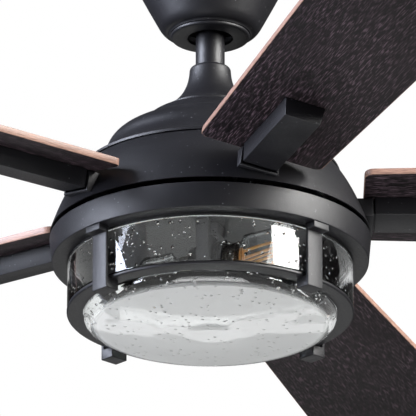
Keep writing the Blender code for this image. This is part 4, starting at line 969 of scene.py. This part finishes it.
@dataclass
class Blade:
    """One blade with its arm below and its screwed plate on top."""

    root: float = 139 * MM
    tip: float = 660 * MM
    root_width: float = 115 * MM
    tip_width: float = 151.5 * MM
    thickness: float = 6.2 * MM
    root_corner: float = 8 * MM
    tip_corner: float = 14 * MM
    arm_start: float = 149.4 * MM
    arm_end: float = 263.5 * MM
    arm_depth: float = 16.5 * MM
    arm_top: float = 18.6 * MM
    arm_bottom: float = 16.2 * MM
    arm_wall: float = 2.6 * MM
    tongue_start: float = 84 * MM
    tongue_half: float = 14 * MM
    tongue_drop: float = 1.8 * MM
    tongue_thickness: float = 6 * MM
    tongue_lap: float = 12 * MM
    plate_margin: float = 8 * MM
    plate_thickness: float = 1.6 * MM
    plate_taper: float = 0.6
    screw_radius: float = 4.2 * MM
    screw_height: float = 2.2 * MM
    screws: tuple = ((172 * MM, 0.0), (236 * MM, 9 * MM), (236 * MM, -9 * MM))

    def build(self, index: int, hub_height: float) -> None:
        """Build one blade, its arm and its plate.

        Args:
            index: which blade, from 0.
            hub_height: height of the blades' hub.
        """
        self.build_board(index, hub_height)
        self.build_arm(index, hub_height)
        self.build_plate(index, hub_height)

    def build_board(self, index: int, hub_height: float) -> None:
        """Build the tapered board with its banded edge."""
        low = SEAT_GAP
        board = block(f"blade_board_{index + 1}", (self.root, -self.tip_width / 2, low),
                      (self.tip, self.tip_width / 2, low + self.thickness))
        middle = (self.root + self.tip) / 2
        for vertex in board.data.vertices:
            if vertex.co.x < middle:
                vertex.co.y *= self.root_width / self.tip_width
        for near, size in ((True, self.root_corner), (False, self.tip_corner)):
            begin_edit(board)
            bpy.ops.mesh.select_mode(type="EDGE")
            bpy.ops.mesh.select_all(action="DESELECT")
            end_edit()
            for edge in board.data.edges:
                ends = [board.data.vertices[number].co for number in edge.vertices]
                upright = abs(ends[0].z - ends[1].z) > self.thickness / 2
                edge.select = upright and (ends[0].x < middle) == near
            bpy.ops.object.mode_set(mode="EDIT")
            bpy.ops.mesh.bevel(offset=size, segments=8, affect="EDGES")
            end_edit()
        round_edges(board, 0.7 * MM, segments=2, angle=60.0)
        face = BladeFace(2 * pi * index / BLADE_COUNT)
        edge = BladeEdge(2 * pi * index / BLADE_COUNT)
        board.data.materials.clear()
        board.data.materials.append(face.make(f"blade_face_{index + 1}"))
        board.data.materials.append(edge.make(f"blade_band_{index + 1}"))
        for polygon in board.data.polygons:
            polygon.material_index = 0 if abs(polygon.normal.z) > 0.95 else 1
        turn_to(board, blade_frame(index, hub_height))
        install(board, Body.ROTOR, Slot.WOOD, None, f"blade_{index + 1}")

    def build_arm(self, index: int, hub_height: float) -> None:
        """Build the tapered arm, hollow above, with its neck and tongue."""
        arm = block(f"blade_bracket_{index + 1}", (self.arm_start, -self.arm_top, -self.arm_depth),
                    (self.arm_end, self.arm_top, 0))
        for vertex in arm.data.vertices:
            if vertex.co.z < -self.arm_depth / 2:
                vertex.co.y *= self.arm_bottom / self.arm_top
        begin_edit(arm)
        select_faces(arm, Vector((0, 0, 1)))
        bpy.ops.mesh.inset(thickness=self.arm_wall)
        bpy.ops.mesh.extrude_region_move(
            TRANSFORM_OT_translate={"value": (0, 0, self.arm_wall - self.arm_depth)})
        bpy.ops.transform.resize(value=(1, self.arm_bottom / self.arm_top, 1),
                                 center_override=(0, 0, 0))
        end_edit()
        neck = block("neck", (NECK_START, -NECK_HALF, -NECK_BOTTOM),
                     (self.arm_start + self.arm_wall / 2, NECK_HALF, -NECK_TOP))
        carve(arm, neck, "UNION")
        round_edges(arm, 0.9 * MM)
        turn_to(arm, blade_frame(index, hub_height))
        tongue_top = hub_height - self.tongue_drop
        tongue = block("tongue", (self.tongue_start, -self.tongue_half,
                                  tongue_top - self.tongue_thickness),
                       (NECK_START + self.tongue_lap, self.tongue_half, tongue_top))
        turn_to(tongue, Matrix.Rotation(2 * pi * index / BLADE_COUNT, 4, "Z"))
        carve(arm, tongue, "UNION")
        smooth(arm)
        install(arm, Body.ROTOR, Slot.COAT, BLACK, f"blade_arm_{index + 1}")

    def build_plate(self, index: int, hub_height: float) -> None:
        """Build the plate over the blade with three domed screws."""
        base = self.thickness + 2 * SEAT_GAP
        near, far, _ = self.screws
        plate = block(f"blade_plate_{index + 1}",
                      (near[0] - self.plate_margin, -far[1] - self.plate_margin, base),
                      (far[0] + self.plate_margin, far[1] + self.plate_margin,
                       base + self.plate_thickness))
        middle = (near[0] + far[0]) / 2
        for vertex in plate.data.vertices:
            if vertex.co.x < middle:
                vertex.co.y *= self.plate_taper
        round_edges(plate, 0.5 * MM, segments=2)
        turn_to(plate, blade_frame(index, hub_height))
        install(plate, Body.ROTOR, Slot.STEEL, ZINC, f"blade_clamp_{index + 1}")
        top = base + self.plate_thickness
        crown = top + self.screw_height
        seat = top + 0.05 * MM
        profile = [(0.0, crown), *swell((1 * MM, crown), (self.screw_radius, top + 0.4 * MM),
                                        1.0, 0.2, count=6),
                   (self.screw_radius, seat), (0.0, seat)]
        for number, (along, across) in enumerate(self.screws):
            screw = turned(f"blade_screw_{index + 1}_{number + 1}", profile, closed=False, steps=24)
            cut_cross(screw, 0.5 * MM, 2.3 * MM, top + 1.2 * MM, top + 4 * MM)
            turn_to(screw, blade_frame(index, hub_height) @ Matrix.Translation((along, across, 0)))
            smooth(screw)
            install(screw, Body.ROTOR, Slot.STEEL, Metal((0.3, 0.3, 0.3), 0.3))


@dataclass
class LightPan:
    """Wide band with a flat underside that carries the glass."""

    foot_radius: float = 143.8 * MM
    bore: float = 124.5 * MM
    wall: float = 2 * MM
    raise_radius: float = 105 * MM
    shaft_hole: float = 8.3 * MM
    band_height: float = 23 * MM

    def build(self) -> None:
        """Build the pan."""
        extent = Extent.of("light_pan")
        raised = extent.top
        band_top = extent.bottom + self.band_height
        wall = self.wall
        profile = [(self.shaft_hole, raised), (self.raise_radius, raised),
                   (self.raise_radius, band_top), (extent.radius, band_top),
                   (self.foot_radius, extent.bottom), (self.bore, extent.bottom),
                   (self.bore, extent.bottom + wall),
                   (self.foot_radius - wall, extent.bottom + wall),
                   (extent.radius - wall, band_top - wall),
                   (self.raise_radius - wall, band_top - wall),
                   (self.raise_radius - wall, raised - wall), (self.shaft_hole, raised - wall)]
        pan = turned("light_band", soften(profile, 1.0 * MM, closed=True))
        install(pan, Body.HANGING, Slot.COAT, BLACK, "light_pan")


@dataclass
class Cage:
    """Glass drum, four straps, lower ring and bottom glass."""

    drum_wall: float = 4 * MM
    ring_bore: float = 115 * MM
    ring_edge: float = 1 * MM
    strap_count: int = 4
    strap_phase: float = radians(43)
    strap_width: float = 18.5 * MM
    strap_inner: float = 133 * MM
    strap_outer: float = 136 * MM
    lug: float = 8.3 * MM
    lug_height: float = 6.2 * MM
    foot: float = 15 * MM
    foot_height: float = 9.9 * MM
    lens_wall: float = 3 * MM
    lens_flange: float = 6 * MM
    lens_drop: float = 13 * MM
    lens_corner: float = 11 * MM
    dimple_radius: float = 24 * MM
    dimple_depth: float = 1.3 * MM
    dimple_steps: int = 8
    crown_lift: float = 0.3 * MM

    def build(self) -> None:
        """Build the glasses, the ring and the straps."""
        drum = Extent.of("drum_glass")
        section = [(drum.radius - self.drum_wall, drum.top), (drum.radius, drum.top),
                   (drum.radius, drum.bottom), (drum.radius - self.drum_wall, drum.bottom)]
        glass = turned("seeded_drum", soften(section, 1.4 * MM, closed=True, steps=5))
        install(glass, Body.HANGING, Slot.SEEDED, SeededGlass(), "drum_glass")

        ring = Extent.of("lower_ring")
        section = [(self.ring_bore, ring.top), (ring.radius, ring.top),
                   (ring.radius, ring.bottom + self.ring_edge),
                   (ring.radius - self.ring_edge, ring.bottom), (self.ring_bore, ring.bottom)]
        band = turned("cage_ring", soften(section, 0.5 * MM, closed=True))
        install(band, Body.HANGING, Slot.COAT, BLACK, "lower_ring")
        self.build_lens(ring)
        for index in range(self.strap_count):
            self.build_strap(index)

    def build_lens(self, ring: Extent) -> None:
        """Build the bowl that closes the cage, with a dimple at its middle.

        Args:
            ring: the box of the ring that it sits in.
        """
        lens = Extent.of("bottom_glass")
        radius = self.ring_bore - RUN_GAP
        flange_bottom = ring.top + SEAT_GAP
        rim = (radius, ring.bottom - self.lens_drop + self.lens_corner)
        foot = (radius - self.lens_corner, ring.bottom - self.lens_drop + self.lens_wall / 2)
        crown = lens.bottom + self.crown_lift
        outer = swell(rim, foot, 0.08, 0.92, count=12)
        outer += swell(foot, (self.dimple_radius, crown), 0.5, 0.85, count=14)[1:]
        for step in range(1, self.dimple_steps + 1):
            share = step / self.dimple_steps
            lift = self.dimple_depth * sin(share * pi / 2) ** 2
            outer.append((self.dimple_radius * (1 - share), crown + lift))
        scale = 1 - self.lens_wall / radius
        lining = [(r * scale, z + self.lens_wall) for r, z in outer]
        profile = list(reversed(outer)) + [
            (radius, flange_bottom), (radius + self.lens_flange, flange_bottom),
            (radius + self.lens_flange, flange_bottom + self.lens_wall),
            (radius - self.lens_wall, flange_bottom + self.lens_wall)] + lining
        bowl = turned("seeded_bowl", profile, closed=False)
        # the bowl's milky film is a painted reflection, thicker towards +Y
        install(bowl, Body.HANGING, Slot.SEEDED, SeededGlass(painted_reflection=0.8), "bottom_glass")

    def build_strap(self, index: int) -> None:
        """Build one strap: lug under the band, bar, and foot under the ring."""
        extent = Extent.of(f"cage_strap_{index + 1}")
        foot_top = extent.bottom + self.foot_height
        lug_bottom = extent.top - self.lug_height
        lug_end = self.strap_outer + self.lug
        foot_end = self.strap_outer - self.foot
        outline = [(self.strap_inner, extent.top), (lug_end, extent.top), (lug_end, lug_bottom),
                   (self.strap_outer, lug_bottom), (self.strap_outer, extent.bottom),
                   (foot_end, extent.bottom), (foot_end, foot_top), (self.strap_inner, foot_top)]
        strap = slab(f"cage_bar_{index + 1}", outline, -self.strap_width / 2, self.strap_width / 2)
        round_edges(strap, 0.8 * MM)
        turn = self.strap_phase + 2 * pi * index / self.strap_count
        turn_to(strap, Matrix.Rotation(turn, 4, "Z"))
        install(strap, Body.HANGING, Slot.COAT, BLACK, f"cage_strap_{index + 1}")


@dataclass
class Lamps:
    """Holder with a socket, cap, bulb and filaments at each end."""

    phase: float = radians(-22)
    holder_half: float = 6 * MM
    socket_length: float = 10.7 * MM
    socket_wall: float = 2.2 * MM
    cap_radius: float = 12 * MM
    cap_length: float = 19.7 * MM
    cap_wall: float = 0.8 * MM
    threads: int = 5
    thread_depth: float = 0.45 * MM
    bulb_radius: float = 15 * MM
    bulb_wall: float = 0.8 * MM
    bulb_neck: float = 9 * MM
    bulb_length: float = 54 * MM
    flare: float = 8 * MM
    dome: float = 13.5 * MM
    filament_circle: float = 6.4 * MM
    filament_radius: float = 0.85 * MM
    filament_length: float = 33 * MM

    def build(self) -> None:
        """Build both lamps and dress the holder."""
        dress(frame["nodes"]["lamp_holder"], Moulded((0.16, 0.16, 0.165), 0.45))
        low = Extent.of("lamp_socket_right")
        high = Extent.of("lamp_socket_left")
        height = (low.top + low.bottom + high.top + high.bottom) / 4
        for side, turn in (("right", self.phase), ("left", self.phase + pi)):
            place = (Matrix.Translation((0, 0, height)) @ Matrix.Rotation(turn, 4, "Z")
                     @ Matrix.Rotation(pi / 2, 4, "Y"))
            self.build_lamp(side, place)

    def build_lamp(self, side: str, place: Matrix) -> None:
        """Build one lamp along +Z and carry it to its place.

        Args:
            side: left or right.
            place: the lamp's place.
        """
        start = self.holder_half + SEAT_GAP
        bore = self.cap_radius + RUN_GAP
        outside = bore + self.socket_wall
        socket = turned(f"socket_shell_{side}", [
            (0.0, start), *soften([(outside - 0.01 * MM, start), (outside, start + 0.01 * MM),
                                   (outside, start + 3 * MM),
                                   (outside - 0.7 * MM, start + 3.6 * MM),
                                   (outside - 0.7 * MM, start + 5 * MM),
                                   (outside, start + 5.6 * MM),
                                   (outside, start + self.socket_length),
                                   (bore, start + self.socket_length),
                                   (bore, start + 1.7 * MM)], 0.3 * MM),
            (0.0, start + 1.7 * MM)], closed=False, steps=72)
        cap_start = start + 2 * MM
        cap_end = cap_start + self.cap_length
        spans = self.threads * 8
        rim = self.cap_radius
        wave = []
        for index in range(spans + 1):
            share = index / spans
            wave.append((rim - self.thread_depth * (1 - cos(2 * pi * self.threads * share)) / 2,
                         cap_start + 3 * MM + share * (self.cap_length - 7 * MM)))
        cap = turned(f"lamp_cap_{side}", [
            (0.0, cap_start), (rim - 2 * MM, cap_start), (rim - 0.5 * MM, cap_start + 1.6 * MM),
            *wave, (rim, cap_end - 3 * MM), (rim, cap_end), (rim - self.cap_wall, cap_end),
            (rim - self.cap_wall, cap_start + 1.2 * MM), (0.0, cap_start + 1.2 * MM)],
            closed=False, steps=72)
        neck = self.cap_radius - self.cap_wall - SEAT_GAP
        glass_start = cap_end - self.bulb_neck
        glass_end = glass_start + self.bulb_length
        body = self.bulb_radius
        outline = [(neck, glass_start), (neck, glass_start + self.bulb_neck)]
        outline += swell((neck, glass_start + self.bulb_neck + 0.3 * MM),
                         (body, glass_start + self.bulb_neck + self.flare), 0.1, 0.6, count=8)
        outline += swell((body, glass_end - self.dome), (0.0, glass_end), 0.0, 1.0, count=14)
        bulb = turned(f"lamp_glass_{side}", list(reversed(outline)), closed=False, steps=72,
                      wall=self.bulb_wall)
        stem = self.build_filaments(side, cap_start + 1.5 * MM, cap_end + 4 * MM)
        for piece, slot, finish, node in (
                (socket, Slot.PLASTIC, Moulded((0.035, 0.035, 0.038), 0.35), "lamp_socket"),
                (cap, Slot.CAP, Metal((0.62, 0.58, 0.5), 0.25), "bulb_cap"),
                (bulb, Slot.BULB, SeededGlass(seed_size=0.0001, wave=0.0001), "bulb_glass"),
                (stem, Slot.FILAMENT, Phosphor(), "bulb_filament")):
            turn_to(piece, place)
            smooth(piece)
            install(piece, Body.HANGING, slot, finish, f"{node}_{side}")

    def build_filaments(self, side: str, foot: float, near: float) -> bpy.types.Object:
        """Build the stem, two discs and four filaments as one piece.

        Args:
            side: left or right.
            foot: where the stem starts.
            near: where the filaments start.

        Returns:
            The joined piece, along +Z.
        """
        far = near + self.filament_length
        ring = self.filament_circle + 2 * self.filament_radius
        stem = turned(f"lamp_filament_{side}", [
            (0.0, foot), (2.2 * MM, foot), (2.2 * MM, near - 4 * MM), (0.9 * MM, near - 0.6 * MM),
            (ring, near - 0.4 * MM), (ring, near + 0.4 * MM), (0.7 * MM, near + 0.6 * MM),
            (0.7 * MM, far - 0.6 * MM), (ring, far - 0.4 * MM), (ring, far + 0.4 * MM),
            (0.0, far + 0.4 * MM)], closed=False, steps=24)
        for number in range(4):
            angle = 2 * pi * (number + 0.5) / 4
            bar = turned("bar", [(0.0, near), (self.filament_radius, near),
                                 (self.filament_radius, far), (0.0, far)], closed=False, steps=12)
            turn_to(bar, Matrix.Translation((self.filament_circle * cos(angle),
                                             self.filament_circle * sin(angle), 0)))
            carve(stem, bar, "UNION")
        return stem


def dress_hidden_pieces() -> None:
    """Dress the CAD nodes that stay as they are."""
    finishes = {
        "hanger_bracket": ZINC,
        "remote_receiver": Moulded((0.62, 0.62, 0.6)),
        "hanger_ball": Moulded((0.03, 0.03, 0.032), 0.35),
        "ball_pin": ZINC,
        "motor_yoke": Metal((0.32, 0.32, 0.33), 0.5),
        "clevis_pin": ZINC,
        "hairpin_clip": ZINC,
        "yoke_set_screw_front": ZINC,
        "yoke_set_screw_back": ZINC,
        "motor_shaft": Metal((0.5, 0.5, 0.5), 0.25),
        "stator_core": Metal((0.25, 0.25, 0.27), 0.45),
        "stator_winding": Winding(),
        "shaft_nut": ZINC,
        "glass_gasket": Moulded((0.015, 0.015, 0.015), 0.8),
        "rotor_upper_bell": Metal((0.42, 0.42, 0.43), 0.4),
        "rotor_lower_bell": Metal((0.42, 0.42, 0.43), 0.4),
        "upper_bearing": Metal((0.6, 0.6, 0.6), 0.2),
        "lower_bearing": Metal((0.6, 0.6, 0.6), 0.2),
    }
    for node, finish in finishes.items():
        dress(frame["nodes"][node], finish)
        LOG.info("dressed %s", node)


# ---------------------------------------------------------------- studio


def seen_directly(tree: bpy.types.NodeTree) -> bpy.types.NodeSocket:
    """A value of 1 on rays that see the backdrop, straight or through glass.

    Args:
        tree: the node tree to add to.

    Returns:
        The value's socket.
    """
    path = tree.nodes.new("ShaderNodeLightPath")
    seen = tree.nodes.new("ShaderNodeMath")
    seen.operation = "MAXIMUM"
    tree.links.new(path.outputs["Is Camera Ray"], seen.inputs[0])
    tree.links.new(path.outputs["Is Transmission Ray"], seen.inputs[1])
    return seen.outputs[0]


@dataclass(frozen=True)
class Softbox:
    """A soft light on a sphere around the fan."""

    name: str
    azimuth: float
    height: float
    distance: float
    width: float
    tall: float
    power: float
    colour: Colour = (1.0, 1.0, 1.0)

    def build(self, target: Vector) -> None:
        """Add the light, turned to the target."""
        turn = radians(self.azimuth)
        spot = Vector((self.distance * sin(turn), -self.distance * cos(turn), self.height))
        lamp = bpy.data.lights.new(self.name, "AREA")
        lamp.shape = "RECTANGLE"
        lamp.size = self.width
        lamp.size_y = self.tall
        lamp.energy = self.power
        lamp.color = self.colour
        thing = bpy.data.objects.new(self.name, lamp)
        thing.location = spot
        thing.rotation_euler = (target - spot).to_track_quat("-Z", "Y").to_euler()
        bpy.context.scene.collection.objects.link(thing)


@dataclass
class Studio:
    """Camera, pale floor and soft light."""

    floor_height: float = -24.0
    floor_size: float = 260.0
    floor_colour: Colour = (0.86, 0.86, 0.85)
    camera_distance: float = 5.0
    camera_height: float = -2.187
    camera_turn: float = -0.4
    aim_left: float = 0.0233
    pitch: float = 21.37
    lens: float = 510.8
    fill: float = 0.07
    softboxes: tuple[Softbox, ...] = (
        Softbox("right_box", 66, 0.65, 2.6, 1.5, 2.0, 205.0, (1.0, 0.99, 0.97)),
        Softbox("left_box", -74, 0.4, 2.6, 1.2, 2.2, 215.0, (0.80, 0.85, 1.0)),
        Softbox("top_box", 10, 2.4, 1.2, 2.4, 2.4, 4.0),
        Softbox("low_box", 0, -2.3, 0.9, 1.8, 1.2, 35.0),
        Softbox("back_box", 180, -1.75, 2.5, 2.4, 1.1, 9.0),
    )

    def build(self) -> None:
        """Build the studio."""
        scene = bpy.context.scene
        scene.view_settings.view_transform = "Standard"
        turn = radians(self.camera_turn)
        camera = bpy.data.cameras.new("camera")
        camera.lens = self.lens
        camera.sensor_width = 36.0
        camera.clip_end = 400.0
        view = bpy.data.objects.new("camera", camera)
        view.location = (self.camera_distance * sin(turn), -self.camera_distance * cos(turn),
                         self.camera_height)
        view.rotation_euler = (radians(90 + self.pitch), 0.0, turn + radians(self.aim_left))
        scene.collection.objects.link(view)
        scene.camera = view
        bpy.ops.object.select_all(action="DESELECT")
        bpy.ops.mesh.primitive_plane_add(size=self.floor_size, location=(0, 0, self.floor_height))
        floor = bpy.context.object
        floor.name = "floor"
        paint = Nodes("floor_paint")
        paint.feed("Base Color", self.floor_colour)
        paint.feed("Roughness", 0.9)
        paint.feed("Emission Color", self.floor_colour)
        paint.link(seen_directly(paint.tree), paint.shader.inputs["Emission Strength"])
        floor.data.materials.append(paint.material)
        for softbox in self.softboxes:
            softbox.build(Vector((0, 0, -0.25)))
        self.build_world()

    def build_world(self) -> None:
        """White backdrop that lights the fan only faintly."""
        world = bpy.data.worlds.new("studio_world")
        world.use_nodes = True
        tree = world.node_tree
        surface = tree.nodes["Background"]
        strength = tree.nodes.new("ShaderNodeMapRange")
        strength.inputs["To Min"].default_value = self.fill
        strength.inputs["To Max"].default_value = 1.0
        tree.links.new(seen_directly(tree), strength.inputs["Value"])
        tree.links.new(strength.outputs["Result"], surface.inputs["Strength"])
        surface.inputs["Color"].default_value = (1.0, 1.0, 1.0, 1.0)
        bpy.context.scene.world = world


def main() -> None:
    """Build the studio and every sub-assembly."""
    logging.basicConfig(level=logging.INFO, format="%(message)s")
    hub_height = next(joint["pos_m"][2] for joint in frame["joints"]
                      if joint["name"] == "rotor_spin")
    LOG.info("hub at %.4f", hub_height)
    Studio().build()
    Canopy().build()
    Hanger().build()
    Housing().build()
    RotatingCover().build(hub_height)
    for index in range(BLADE_COUNT):
        Blade().build(index, hub_height)
    LightPan().build()
    Cage().build()
    Lamps().build()
    dress_hidden_pieces()


if __name__ == "__main__":
    main()
